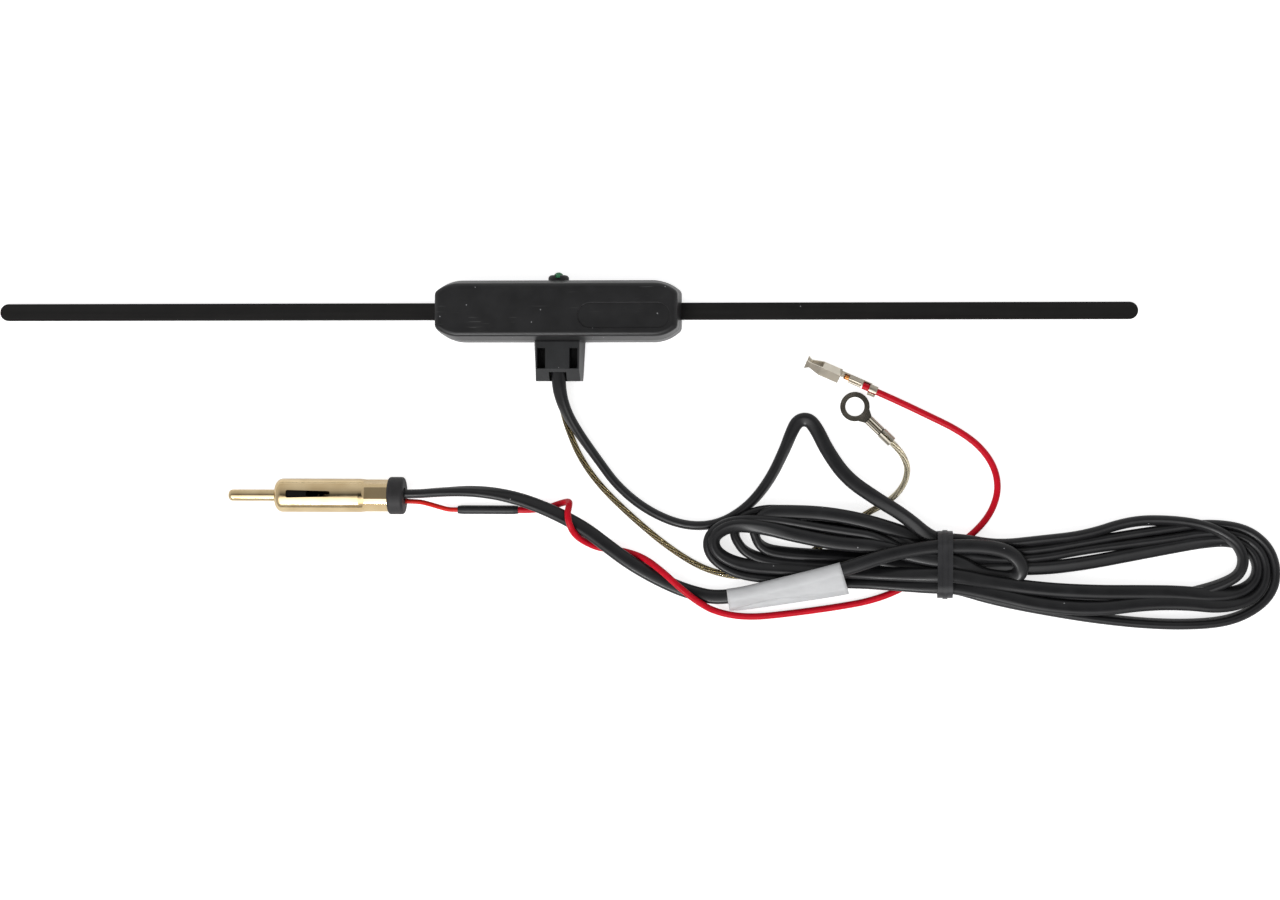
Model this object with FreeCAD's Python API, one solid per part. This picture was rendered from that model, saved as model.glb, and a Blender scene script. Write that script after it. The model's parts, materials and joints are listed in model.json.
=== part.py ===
import FreeCAD, Part
import math
import os

from FreeCAD import Vector

# Glass-mount car antenna: housing with two strip arms, tied lead, plug and two terminals.
# Millimetres. The origin is the centre of the housing's adhesive face, +X runs along the arms,
# +Y points to the lamp's side and +Z away from the glass.

# Housing shells
tape_thickness = 0.8
base_length = 66.0
base_width = 16.7
base_height = 6.6
base_draft = 0.3
corner_run = 7.5
corner_drop = 3.2
corner_radius = 1.6
cover_height = 4.8
cover_draft = 1.1
cover_end_draft = 0.2
cover_edge_radius = 1.2
wall = 1.4
floor_thickness = 1.2
roof_thickness = 1.3
groove_height = 0.45
groove_depth = 0.4
lip_height = 0.8
lip_thickness = 0.5
lip_clearance = 0.1
pad_margin = 1.0

# Badge recess in the cover
recess_length = 24.6
recess_width = 6.8
recess_depth = 0.3
recess_edge_radius = 0.12
recess_end_gap = 2.5
recess_y = -1.6

# Strip arms
arm_reach = 154.4
arm_width = 4.65
arm_thickness = 1.0
arm_edge_radius = 0.2
arm_grip = 8.7
arm_clearance = 0.1
arm_tape_width = 3.6
arm_tape_margin = 1.5

# Circuit board, its posts and what it carries
board_clearance = 0.35
board_thickness = 1.0
post_height = 0.8
post_diameter = 3.0
post_pin_diameter = 1.4
post_pin_clearance = 0.15
post_end_gap = 13.7
post_y = 3.6
contact_length = 3.6
contact_width = 3.0
contact_sheet = 0.25
coil_diameter = 5.0
coil_height = 4.2
coil_core_diameter = 3.4
coil_flange = 0.7
coil_x = -8.0
can_diameter = 4.0
can_height = 5.2
can_edge_radius = 0.4
can_x = 12.0
chip_length = 3.0
chip_width = 1.6
chip_height = 1.2
chip_gap = 1.0
resistor_length = 2.0
resistor_width = 1.25
resistor_height = 0.6
resistor_pitch = 3.4
resistor_count = 4
resistor_edge_gap = 1.9
transistor_length = 4.6
transistor_width = 3.8
transistor_height = 1.8
transistor_chamfer = 0.4
transistor_x = 5.0

# Lamp and its holder
lamp_diameter = 2.9
lamp_length = 5.4
lamp_stand_out = 2.05
lamp_rim_diameter = 3.6
lamp_rim = 0.7
lamp_leg = 0.45
lamp_leg_length = 2.4
lamp_leg_pitch = 1.8
holder_diameter = 5.6
holder_flange = 1.1
holder_edge_radius = 0.9
holder_barrel_diameter = 4.2
holder_barrel_length = 3.0
holder_slot = 1.3
holder_slot_depth = 0.8
holder_clearance = 0.1
boss_height = 0.15

# Cable clamp over the lead's exit
clamp_length = 10.5
clamp_width = 14.1
clamp_taper = 0.65
clamp_back_draft = 1.1
clamp_front_draft = 0.6
clamp_edge_radius = 0.45
clamp_wall = 0.8
clamp_roof = 0.7
clamp_lip_run = 3.2
clamp_lip_drop = 2.6
clamp_notch = 4.7
trough_thickness = 0.6
window_length = 5.5
window_width = 2.2
window_x = 4.35
window_back = 1.7

# Lead and wires
lead_diameter = 3.3
red_diameter = 1.8
red_plug_diameter = 1.3
ground_diameter = 1.7
cord_clearance = 0.1
channel_clearance = 0.3

# Plug
pin_diameter = 3.15
pin_length = 13.0
pin_tip_radius = 1.2
pin_shank_diameter = 2.4
pin_tail = 2.7
shell_diameter = 9.1
shell_length = 31.4
shell_wall = 0.55
shell_nose_radius = 2.1
slot_length = 12.0
slot_width = 2.1
slot_end_width = 1.5
slot_corner_radius = 0.5
slot_start = 3.6
slot_turn = 6.0
crimp_length = 8.2
crimp_ramp = 1.6
crimp_flats = 8.1
crimp_diameter = 8.7
crimp_wall = 0.5
crimp_turn = -10.0
insulator_nose_diameter = 4.2
insulator_length = 9.0
bush_diameter = 10.1
bush_length = 4.4
bush_edge_radius = 0.8
bush_overlap = 0.5
plug_rear_x = -41.5
plug_y = -49.8
bush_lead_y = 0.45
bush_lead_z = 0.5
bush_wire_y = -1.5
bush_wire_z = -1.2

# Splice sleeve on the red wire
sleeve_length = 16.4
sleeve_diameter = 2.4
sleeve_end_diameter = 2.1
sleeve_taper = 1.2
sleeve_x = -19.4
sleeve_y = -53.6

# Ring terminal
ring_diameter = 7.9
ring_hole_diameter = 5.1
ring_thickness = 0.8
ring_neck_width = 2.4
ring_shoulder_width = 5.6
ring_shoulder_x = 2.2
ring_x = 79.5
ring_y = -25.6
ring_turn = -44.0
ring_core_start = 5.1
ring_core_length = 4.5
ring_core_width = 2.6
ring_core_height = 1.9
ring_grip_gap = 0.3
ring_grip_length = 3.8
ring_grip_wall = 0.6
grip_slit = 0.5
grip_clearance = 0.05
wire_tail = 1.0

# Box contact
box_side = 2.8
box_sheet = 0.35
box_seam = 0.24
box_length = 5.2
box_start = 4.6
spring_mouth = 1.7
spring_waist = 0.9
spring_waist_x = 1.2
spring_width = 1.7
strip_width = 1.9
box_core_start = 12.2
box_core_length = 3.7
box_core_width = 1.9
box_core_height = 1.7
box_grip_start = 18.2
box_grip_length = 2.2
box_grip_wall = 0.4
box_wing = 0.9
box_wire_start = 16.3
box_tip_x = 66.6
box_tip_y = -13.5
box_turn = -23.5
box_roll = 43.0

# Hank, tie and label
hank_height = 4.8
hank_edge_radius = 1.6
waist_start_x = 96.0
waist_end_x = 113.0
waist_width = 16.2
waist_height = 8.2
waist_radius = 2.6
waist_y = -67.6
tie_width = 4.0
tie_thickness = 0.8
tie_ridge_width = 1.2
tie_ridge = 0.25
tie_x = 103.4
tie_clearance = 0.05
label_length = 30.0
label_thickness = 0.25
label_clearance = 0.6
label_flap = 2.0
label_start = 2.4

# Places that several pieces share
base_bottom = tape_thickness
parting_z = base_bottom + base_height
cover_top = parting_z + cover_height
floor_top = base_bottom + floor_thickness
arm_top = tape_thickness + arm_thickness
board_bottom = floor_top + post_height
board_top = board_bottom + board_thickness
cavity_inset = base_draft + wall
half_length = base_length / 2
half_width = base_width / 2
recess_x = half_length - recess_end_gap - recess_length / 2
arm_inner_x = half_length - arm_grip
post_x = half_length - post_end_gap
resistor_y = resistor_edge_gap + cavity_inset + board_clearance - half_width
lamp_z = board_top + lamp_leg / 2
lamp_tip_y = half_width + lamp_stand_out
lamp_back_y = lamp_tip_y - lamp_length - lamp_rim
holder_seat_y = half_width + boss_height
trough_top = base_bottom + trough_thickness
ground_exit_z = trough_top + ground_diameter / 2 + cord_clearance
lead_exit_z = ground_exit_z + ground_diameter / 2 + lead_diameter / 2 + cord_clearance
inner_wall_y = -half_width + wall
clamp_front_y = -half_width - clamp_length
plug_z = bush_diameter / 2
bush_front_x = plug_rear_x - bush_length
shell_rear_x = bush_front_x + bush_overlap
shell_nose_x = shell_rear_x - shell_length
crimp_x = shell_rear_x - crimp_length
insulator_step_x = shell_nose_x + shell_nose_radius
insulator_end_x = shell_nose_x + insulator_length
sleeve_z = sleeve_diameter / 2
ring_wire_z = ground_diameter / 2 + ring_grip_wall
ring_grip_start = ring_core_start + ring_core_length + ring_grip_gap
waist_bottom = tie_thickness + tie_ridge
diagonal = math.sqrt(0.5)

# Directions
ORIGIN = Vector(0, 0, 0)
AXIS_X = Vector(1, 0, 0)
AXIS_Y = Vector(0, 1, 0)
AXIS_Z = Vector(0, 0, 1)


def box(low, high):
    """Block between two corners."""
    size = Vector(*high) - Vector(*low)
    return Part.makeBox(size.x, size.y, size.z, Vector(*low))


def span_box(first, second):
    """Block between two opposite corners given in any order."""
    low = [min(a, b) for a, b in zip(first, second)]
    high = [max(a, b) for a, b in zip(first, second)]
    return box(low, high)


def rod(diameter, start, axis, length):
    """Round bar from a start point."""
    return Part.makeCylinder(diameter / 2, length, Vector(*start), axis)


def fused(first, *others):
    """One solid from pieces that touch."""
    return first.multiFuse(list(others)).removeSplitter()


def polygon_face(points):
    """Flat face inside a closed polygon."""
    return Part.Face(Part.makePolygon(points + [points[0]]))


def turned_solid(points, arc, base, axis):
    """Solid of revolution: straight edges through points, an optional arc, then back to the start."""
    edges = [Part.LineSegment(a, b).toShape() for a, b in zip(points, points[1:])]
    last = points[-1]
    if arc:
        edges.append(Part.Arc(last, arc[0], arc[1]).toShape())
        last = arc[1]
    edges.append(Part.LineSegment(last, points[0]).toShape())
    return Part.Face(Part.Wire(edges)).revolve(base, axis, 360)


def edges_at_height(shape, z):
    """Edges that lie in one level."""
    return [edge for edge in shape.Edges
            if abs(edge.BoundBox.ZMin - z) < 1e-6 and abs(edge.BoundBox.ZMax - z) < 1e-6]


def edges_along_x(shape, length):
    """Edges that run at least length along X."""
    return [edge for edge in shape.Edges if edge.BoundBox.XLength > length]


def save(name, shape):
    """Write one node after checking that it is sound."""
    solids = shape.Solids
    if not solids or not all(solid.isValid() for solid in solids):
        raise ValueError(name + " is not a sound solid")
    kept = solids[0] if len(solids) == 1 else Part.makeCompound(solids)
    kept.exportStep("parts/" + name + ".step")
    print("%-22s solids %d  volume %.1f" % (name, len(solids), kept.Volume))


# Housing

def housing_outline(inset, end_inset, z):
    """Outline of the housing drawn in at its long sides and its ends, with an arc at each corner."""
    arc_radius = (corner_run ** 2 + corner_drop ** 2) / (2 * corner_drop)
    centre_x = half_length - corner_run + inset - end_inset
    centre_y = half_width - arc_radius
    radius = arc_radius - inset
    end_x = half_length - end_inset
    end_angle = math.acos((end_x - centre_x) / radius)
    middle_angle = (end_angle + math.pi / 2) / 2
    end_y = centre_y + radius * math.sin(end_angle)
    middle_x = centre_x + radius * math.cos(middle_angle)
    middle_y = centre_y + radius * math.sin(middle_angle)

    def corner(sign_x, sign_y):
        side = Vector(sign_x * centre_x, sign_y * (half_width - inset), z)
        middle = Vector(sign_x * middle_x, sign_y * middle_y, z)
        end = Vector(sign_x * end_x, sign_y * end_y, z)
        return side, middle, end

    corners = [corner(1, 1), corner(-1, 1), corner(-1, -1), corner(1, -1)]
    edges = []
    for index in (0, 2):
        side_a, middle_a, end_a = corners[index]
        side_b, middle_b, end_b = corners[index + 1]
        next_end = corners[(index + 2) % 4][2]
        edges.append(Part.Arc(end_a, middle_a, side_a).toShape())
        edges.append(Part.LineSegment(side_a, side_b).toShape())
        edges.append(Part.Arc(side_b, middle_b, end_b).toShape())
        edges.append(Part.LineSegment(end_b, next_end).toShape())
    return Part.Wire(edges)


def drafted_block(inset, side_draft, end_draft, low_z, high_z):
    """Block on a housing outline, with its own draft at the long sides and at the ends."""
    low = housing_outline(inset, inset, low_z)
    high = housing_outline(inset + side_draft, inset + end_draft, high_z)
    return Part.makeLoft([low, high], True, True)


def upright_block(inset, low_z, high_z):
    """Block with one housing outline all the way up."""
    return drafted_block(inset, 0, 0, low_z, high_z)


def end_corner_edges(shape):
    """Upright edges where the corner arcs meet the short ends."""
    arc_middle_x = half_length - corner_run / 2
    corners = []
    for edge in shape.Edges:
        bounds = edge.BoundBox
        if bounds.ZLength > groove_height and min(abs(bounds.XMin), abs(bounds.XMax)) > arc_middle_x:
            corners.append(edge)
    return corners


def base_envelope():
    """Outside of the base below the parting groove."""
    block = drafted_block(0, base_draft, base_draft, base_bottom, parting_z - groove_height)
    return block.makeFillet(corner_radius, end_corner_edges(block))


def arm_channel(sign):
    """Room for one arm's inner end: open through the floor, and a slot in the end wall."""
    side = arm_width / 2 + arm_clearance
    cavity_end_x = half_length - cavity_inset
    floor_part = span_box((sign * arm_inner_x, -side, 0), (sign * cavity_end_x, side, board_bottom))
    wall_top = arm_top + arm_clearance
    wall_part = span_box((sign * arm_inner_x, -side, 0), (sign * base_length, side, wall_top))
    return fused(floor_part, wall_part)


def board_posts():
    """Four posts that carry the board, each with a locating pin."""
    foot_z = floor_top - floor_thickness / 2
    pin_top = board_top + post_pin_diameter / 2
    posts = []
    for x in (-post_x, post_x):
        for y in (-post_y, post_y):
            posts.append(rod(post_diameter, (x, y, foot_z), AXIS_Z, board_bottom - foot_z))
            posts.append(rod(post_pin_diameter, (x, y, foot_z), AXIS_Z, pin_top - foot_z))
    return posts


def housing_base():
    """Lower shell with parting groove, locating lip, lamp boss, cable trough and board posts."""
    neck_inset = base_draft + groove_depth
    lip_inset = cavity_inset - lip_thickness
    above = parting_z + 2 * lip_height
    neck = upright_block(neck_inset, parting_z - 2 * groove_height, parting_z)
    lip = upright_block(lip_inset, parting_z - groove_height, parting_z + lip_height)
    boss = rod(holder_diameter, (0, half_width - wall, lamp_z), AXIS_Y, wall + boss_height)
    trough = clamp_hood(0, trough_top)
    shell = fused(base_envelope(), neck, lip, boss, trough)
    shell = shell.cut(upright_block(cavity_inset, floor_top, above))
    shell = fused(shell, *board_posts())

    slot_half = lead_diameter / 2 + cord_clearance
    lead_slot = box((-slot_half, -half_width - wall, trough_top), (slot_half, inner_wall_y + wall, above))
    barrel_hole = rod(holder_barrel_diameter + 2 * holder_clearance, (0, 0, lamp_z), AXIS_Y, base_width)
    return shell.cut([lead_slot, barrel_hole, arm_channel(-1), arm_channel(1)])


def housing_cover():
    """Upper shell with sloping sides, softened edges, a rebate for the base's lip and the badge recess."""
    rebate_inset = cavity_inset - lip_thickness - lip_clearance
    outside = drafted_block(base_draft, cover_draft, cover_end_draft, parting_z, cover_top)
    outside = outside.makeFillet(corner_radius, end_corner_edges(outside))
    edge_radius = min(cover_edge_radius, 0.9 * corner_radius)
    outside = outside.makeFillet(edge_radius, edges_at_height(outside, cover_top))
    cavity = drafted_block(cavity_inset, cover_draft, cover_end_draft, parting_z, cover_top - roof_thickness)
    rebate = upright_block(rebate_inset, parting_z, parting_z + lip_height + lip_clearance)
    pocket = badge_recess()
    shell = outside.cut([cavity, rebate, pocket])
    rim = [edge for edge in edges_at_height(shell, cover_top) if pocket.isInside(edge.CenterOfMass, 1.0, True)]
    return shell.makeFillet(recess_edge_radius, rim)


def badge_recess():
    """Stadium-shaped shallow pocket for a badge."""
    half_straight = (recess_length - recess_width) / 2
    radius = recess_width / 2
    bottom = cover_top - recess_depth
    pocket = box((recess_x - half_straight, recess_y - radius, bottom),
                 (recess_x + half_straight, recess_y + radius, cover_top + recess_depth))
    ends = [rod(recess_width, (recess_x + side * half_straight, recess_y, bottom), AXIS_Z, 2 * recess_depth)
            for side in (-1, 1)]
    return fused(pocket, *ends)


def housing_pad():
    """Foam tape under the housing."""
    return upright_block(pad_margin, 0, tape_thickness)


def clamp_hood(margin, top_z):
    """Hood up to top_z, drawn in by margin at its sides, which lean in more at the back than at the front."""
    def level(z):
        lean = (z - base_bottom) / base_height
        half = clamp_width / 2 - margin
        back = half - lean * clamp_back_draft
        front = half - clamp_taper - lean * clamp_front_draft
        left_back = Vector(-back, inner_wall_y, z)
        right_back = Vector(back, inner_wall_y, z)
        left_front = Vector(-front, clamp_front_y, z)
        right_front = Vector(front, clamp_front_y, z)
        return Part.makePolygon([left_back, left_front, right_front, right_back, left_back])

    return Part.makeLoft([level(base_bottom), level(top_z)], True, True)


def lip_wedge(depth):
    """What the clamp's sloping lip cuts off, with its slope moved in by depth."""
    drop = clamp_lip_drop + depth * math.hypot(1, clamp_lip_drop / clamp_lip_run)
    run = clamp_lip_run * drop / clamp_lip_drop
    far_x = clamp_width
    front_y = clamp_front_y
    face = polygon_face([Vector(-far_x, front_y, parting_z), Vector(-far_x, front_y, parting_z - drop),
                         Vector(-far_x, front_y + run, parting_z)])
    return face.extrude(AXIS_X * (2 * far_x))


def hood_side_edges(shape, z):
    """The hood's two long edges at its top."""
    return [edge for edge in edges_at_height(shape, z) if edge.BoundBox.YLength > clamp_length / 2]


def cable_clamp():
    """Hood over the lead's exit: tapered sides, two windows, a sloping lip and a square mouth."""
    top = parting_z
    front_y = clamp_front_y
    far_x = clamp_width
    outside = clamp_hood(0, top)
    outside = outside.makeFillet(clamp_edge_radius, hood_side_edges(outside, top))
    inside = clamp_hood(clamp_wall, top - clamp_roof)
    front_wall = box((-far_x, front_y, trough_top), (far_x, front_y + clamp_wall, top))
    hood = outside.cut(inside.cut([front_wall, lip_wedge(clamp_roof)])).cut(lip_wedge(0))

    mouth_half = clamp_notch / 2
    mouth_top = lead_exit_z + lead_diameter / 2 + cord_clearance
    mouth = box((-mouth_half, front_y, base_bottom), (mouth_half, front_y + clamp_lip_run + wall, mouth_top))
    window_y = -half_width - window_back
    windows = [span_box((side * (window_x - window_width / 2), window_y, trough_top),
                        (side * (window_x + window_width / 2), window_y - window_length, top + clamp_roof))
               for side in (-1, 1)]
    neck_room = box((-far_x, -half_width, parting_z - groove_height), (far_x, 0, cover_top))
    trough_room = box((-far_x, front_y, base_bottom), (far_x, 0, trough_top))
    return hood.cut([mouth, base_envelope(), neck_room, trough_room] + windows)


# Arms

def strip_arm(sign):
    """Strip with a rounded tip and softened top edges."""
    tip_x = sign * (arm_reach - arm_width / 2)
    strip = span_box((sign * arm_inner_x, -arm_width / 2, tape_thickness), (tip_x, arm_width / 2, arm_top))
    arm = fused(strip, rod(arm_width, (tip_x, 0, tape_thickness), AXIS_Z, arm_thickness))
    return arm.makeFillet(arm_edge_radius, edges_at_height(arm, arm_top))


def arm_tape(sign):
    """Foam tape under the free length of one arm."""
    inner_x = sign * half_length
    outer_x = sign * (arm_reach - arm_tape_margin)
    return span_box((inner_x, -arm_tape_width / 2, 0), (outer_x, arm_tape_width / 2, tape_thickness))


def arm_contact(sign):
    """Folded spring strip between an arm's inner end and the board."""
    start = arm_inner_x + contact_sheet
    end = start + contact_length
    inside = start + contact_sheet
    foot = arm_top + contact_sheet
    head = board_bottom - contact_sheet
    outline = [(start, arm_top), (end, arm_top), (end, foot), (inside, foot),
               (inside, head), (end, head), (end, board_bottom), (start, board_bottom)]
    points = [Vector(sign * x, -contact_width / 2, z) for x, z in outline]
    return polygon_face(points).extrude(AXIS_Y * contact_width)


# Circuit

def circuit_board():
    """Board with the cavity's outline, notched for the lamp and drilled for the post pins."""
    board = upright_block(cavity_inset + board_clearance, board_bottom, board_top)
    notch_half = max(lamp_rim_diameter, holder_barrel_diameter) / 2 + board_clearance
    notch_y = lamp_back_y - board_clearance
    notch = box((-notch_half, notch_y, base_bottom), (notch_half, half_width, cover_top))
    hole_diameter = post_pin_diameter + 2 * post_pin_clearance
    holes = [rod(hole_diameter, (x, y, base_bottom), AXIS_Z, base_height)
             for x in (-post_x, post_x) for y in (-post_y, post_y)]
    return board.cut([notch] + holes)


def matching_coil():
    """Drum core with its winding."""
    half = coil_diameter / 2
    core = coil_core_diameter / 2
    winding = (half + core) / 2
    low = board_top + coil_flange
    high = board_top + coil_height - coil_flange
    outline = [(0, board_top), (half, board_top), (half, low), (winding, low),
               (winding, high), (half, high), (half, high + coil_flange), (0, high + coil_flange)]
    points = [Vector(coil_x + radius, 0, z) for radius, z in outline]
    return turned_solid(points, None, Vector(coil_x, 0, 0), AXIS_Z)


def capacitors():
    """One upright can and two chips."""
    can = rod(can_diameter, (can_x, 0, board_top), AXIS_Z, can_height)
    can = can.makeFillet(can_edge_radius, edges_at_height(can, board_top + can_height))
    pieces = [can]
    chip_reach = chip_gap + chip_length / 2
    for x in (coil_x - coil_diameter / 2 - chip_reach, can_x + can_diameter / 2 + chip_reach):
        pieces.append(box((x - chip_length / 2, -chip_width / 2, board_top),
                          (x + chip_length / 2, chip_width / 2, board_top + chip_height)))
    return Part.makeCompound(pieces)


def resistors():
    """Row of chips in front of the transistor."""
    half_x = resistor_length / 2
    half_y = resistor_width / 2
    top = board_top + resistor_height
    pieces = []
    for index in range(resistor_count):
        x = transistor_x + resistor_pitch * (index - (resistor_count - 1) / 2)
        low = (x - half_x, resistor_y - half_y, board_top)
        pieces.append(box(low, (x + half_x, resistor_y + half_y, top)))
    return Part.makeCompound(pieces)


def amplifier_transistor():
    """Flat package with three legs on the board."""
    half_x = transistor_length / 2
    half_y = transistor_width / 2
    top = board_top + transistor_height
    bottom = board_top + lamp_leg / 2
    body = box((transistor_x - half_x, -half_y, bottom), (transistor_x + half_x, half_y, top))
    body = body.makeChamfer(transistor_chamfer, edges_at_height(body, top))
    legs = []
    for step in (-1, 0, 1):
        x = transistor_x + step * transistor_length / 3
        legs.append(box((x - lamp_leg / 2, -half_y - lamp_leg, board_top),
                        (x + lamp_leg / 2, half_y, board_top + lamp_leg)))
    return fused(body, *legs)


# Lamp

def lamp_points(pairs):
    """Points on the lamp's turning plane from (radius, y) pairs."""
    return [Vector(radius, y, lamp_z) for radius, y in pairs]


def lamp():
    """Domed lamp with a rim and two legs that lie on the board."""
    radius = lamp_diameter / 2
    rim = lamp_rim_diameter / 2
    rim_y = lamp_back_y + lamp_rim
    dome_y = lamp_tip_y - radius
    outline = lamp_points([(0, lamp_back_y), (rim, lamp_back_y), (rim, rim_y),
                           (radius, rim_y), (radius, dome_y)])
    dome = lamp_points([(radius * diagonal, dome_y + radius * diagonal), (0, lamp_tip_y)])
    body = turned_solid(outline, dome, Vector(0, 0, lamp_z), AXIS_Y)
    legs = []
    for side in (-1, 1):
        x = side * lamp_leg_pitch / 2
        legs.append(box((x - lamp_leg / 2, lamp_back_y - lamp_leg_length, board_top),
                        (x + lamp_leg / 2, lamp_back_y + lamp_rim / 2, board_top + lamp_leg)))
    return fused(body, *legs)


def lamp_holder():
    """Bezel with a rounded flange, slit into two fingers at its front."""
    bore = lamp_diameter / 2 + holder_clearance
    barrel = holder_barrel_diameter / 2
    flange = holder_diameter / 2
    barrel_y = holder_seat_y - holder_barrel_length
    front_y = holder_seat_y + holder_flange
    shift = holder_edge_radius * (1 - diagonal)
    outline = lamp_points([(bore, front_y), (bore, barrel_y), (barrel, barrel_y), (barrel, holder_seat_y),
                           (flange, holder_seat_y), (flange, front_y - holder_edge_radius)])
    rounding = lamp_points([(flange - shift, front_y - shift), (flange - holder_edge_radius, front_y)])
    bezel = turned_solid(outline, rounding, Vector(0, 0, lamp_z), AXIS_Y)
    slot = box((-holder_slot / 2, front_y - holder_slot_depth, lamp_z - flange),
               (holder_slot / 2, front_y, lamp_z + flange))
    return bezel.cut(slot)


# Plug

def plug_points(pairs):
    """Points on the plug's turning plane from (x, radius) pairs."""
    return [Vector(x, plug_y, plug_z + radius) for x, radius in pairs]


def plug_turned(outline, rounding=None):
    """Solid turned about the plug's axis."""
    arc = plug_points(rounding) if rounding else None
    return turned_solid(plug_points(outline), arc, Vector(0, plug_y, plug_z), AXIS_X)


def plug_pin():
    """Contact pin with a rounded tip and a thinner shank through the insulator."""
    radius = pin_diameter / 2
    shank = pin_shank_diameter / 2
    tip_x = shell_nose_x - pin_length
    tail_x = insulator_end_x + pin_tail
    shift = pin_tip_radius * (1 - diagonal)
    return plug_turned([(tip_x, 0), (tail_x, 0), (tail_x, shank), (shell_nose_x, shank),
                        (shell_nose_x, radius), (tip_x + pin_tip_radius, radius)],
                       [(tip_x + shift, radius - shift), (tip_x, radius - pin_tip_radius)])


def plug_insulator():
    """Stepped washer that centres the pin in the shell's nose."""
    bore = pin_shank_diameter / 2
    body = shell_diameter / 2 - shell_wall
    nose = insulator_nose_diameter / 2
    return plug_turned([(shell_nose_x, bore), (insulator_end_x, bore), (insulator_end_x, body),
                        (insulator_step_x, body), (insulator_step_x, nose), (shell_nose_x, nose)])


def crimp_hexagon(flats, x):
    """Closed hexagon across the plug's axis."""
    radius = flats / math.sqrt(3)
    corners = []
    for index in range(7):
        angle = math.radians(crimp_turn + 60 * index)
        y = plug_y + radius * math.cos(angle)
        z = plug_z + radius * math.sin(angle)
        corners.append(Vector(x, y, z))
    return Part.makePolygon(corners)


def crimp_bar():
    """Six-sided bar with rounded corners that the crimped end of the shell follows, with a ramp at its start."""
    ramp_end = crimp_x + crimp_ramp
    wide = crimp_hexagon(shell_diameter + 2 * crimp_wall, crimp_x)
    ramp = Part.makeLoft([wide, crimp_hexagon(crimp_flats, ramp_end)], True, True)
    straight = Part.makeLoft([crimp_hexagon(crimp_flats, ramp_end), crimp_hexagon(crimp_flats, shell_rear_x)],
                             True, True)
    round_bar = plug_turned([(crimp_x, 0), (crimp_x, shell_diameter / 2), (ramp_end, crimp_diameter / 2),
                             (shell_rear_x, crimp_diameter / 2), (shell_rear_x, 0)])
    return fused(ramp, straight).common(round_bar)


def solder_slot():
    """Tapering slot in the shell, turned a little from the top."""
    start_x = shell_nose_x + slot_start
    end_x = start_x + slot_length
    wide = slot_width / 2
    narrow = slot_end_width / 2
    corners = [(start_x, -wide), (start_x, wide), (end_x, narrow), (end_x, -narrow)]
    slot = polygon_face([Vector(x, plug_y + y, plug_z) for x, y in corners]).extrude(AXIS_Z * shell_diameter)
    upright = [edge for edge in slot.Edges if edge.BoundBox.ZLength > shell_diameter / 2]
    slot = slot.makeFillet(slot_corner_radius, upright)
    slot.rotate(Vector(0, plug_y, plug_z), AXIS_X, -slot_turn)
    return slot


def plug_shell():
    """Rolled shell with a rounded nose, a solder slot and a six-sided crimp at the rear."""
    outer = shell_diameter / 2
    inner = outer - shell_wall
    nose = insulator_nose_diameter / 2
    crimped = crimp_flats / 2 - crimp_wall
    shift = shell_nose_radius * (1 - diagonal)
    shell = plug_turned([(shell_nose_x, nose), (insulator_step_x, nose), (insulator_step_x, inner),
                         (crimp_x, inner), (crimp_x, crimped), (shell_rear_x, crimped),
                         (shell_rear_x, outer), (insulator_step_x, outer)],
                        [(shell_nose_x + shift, outer - shift), (shell_nose_x, outer - shell_nose_radius)])
    crimp_zone = rod(2 * shell_diameter, (crimp_x, plug_y, plug_z), AXIS_X, crimp_length)
    return shell.cut([crimp_zone.cut(crimp_bar()), solder_slot()])


def lead_plug_start():
    """Where the lead begins in the bush."""
    return Vector(plug_rear_x - bush_length / 2, plug_y + bush_lead_y, plug_z + bush_lead_z)


def wire_plug_start():
    """Where the red wire begins in the bush."""
    return Vector(plug_rear_x - bush_length / 2, plug_y + bush_wire_y, plug_z + bush_wire_z)


def plug_end_bush():
    """Rubber bush on the rear of the shell, with a hole for the lead and one for the wire."""
    front = (bush_front_x, plug_y, plug_z)
    bush = rod(bush_diameter, front, AXIS_X, bush_length)
    rims = [edge for edge in bush.Edges if edge.BoundBox.XLength < 1e-6 and edge.Closed]
    bush = bush.makeFillet(bush_edge_radius, rims)
    seat = rod(crimp_diameter, front, AXIS_X, bush_overlap)
    lead_hole = rod(lead_diameter + 2 * cord_clearance, lead_plug_start(), AXIS_X, bush_length)
    wire_hole = rod(red_plug_diameter + 2 * cord_clearance, wire_plug_start(), AXIS_X, bush_length)
    return bush.cut([seat, lead_hole, wire_hole])


def splice_sleeve():
    """Shrunk sleeve with tapered ends."""
    half = sleeve_length / 2
    end = sleeve_end_diameter / 2
    full = sleeve_diameter / 2
    outline = [(-half, 0), (half, 0), (half, end), (half - sleeve_taper, full),
               (-half + sleeve_taper, full), (-half, end)]
    points = [Vector(sleeve_x + x, sleeve_y, sleeve_z + radius) for x, radius in outline]
    return turned_solid(points, None, Vector(0, sleeve_y, sleeve_z), AXIS_X)


# Terminals, drawn with the wire's axis along +X

def core_crimp(start, length, width, height, floor_z):
    """Crimped barrel with two rolled lobes on top of a rounded back."""
    lobe = width / 4
    lobe_z = floor_z + height - lobe
    back = box((start, -width / 2, floor_z), (start + length, width / 2, lobe_z))
    back = back.makeFillet(lobe / 2, edges_along_x(back, length / 2))
    lobes = [rod(2 * lobe, (start, side * (width / 2 - lobe), lobe_z), AXIS_X, length) for side in (-1, 1)]
    return fused(back, *lobes)


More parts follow.
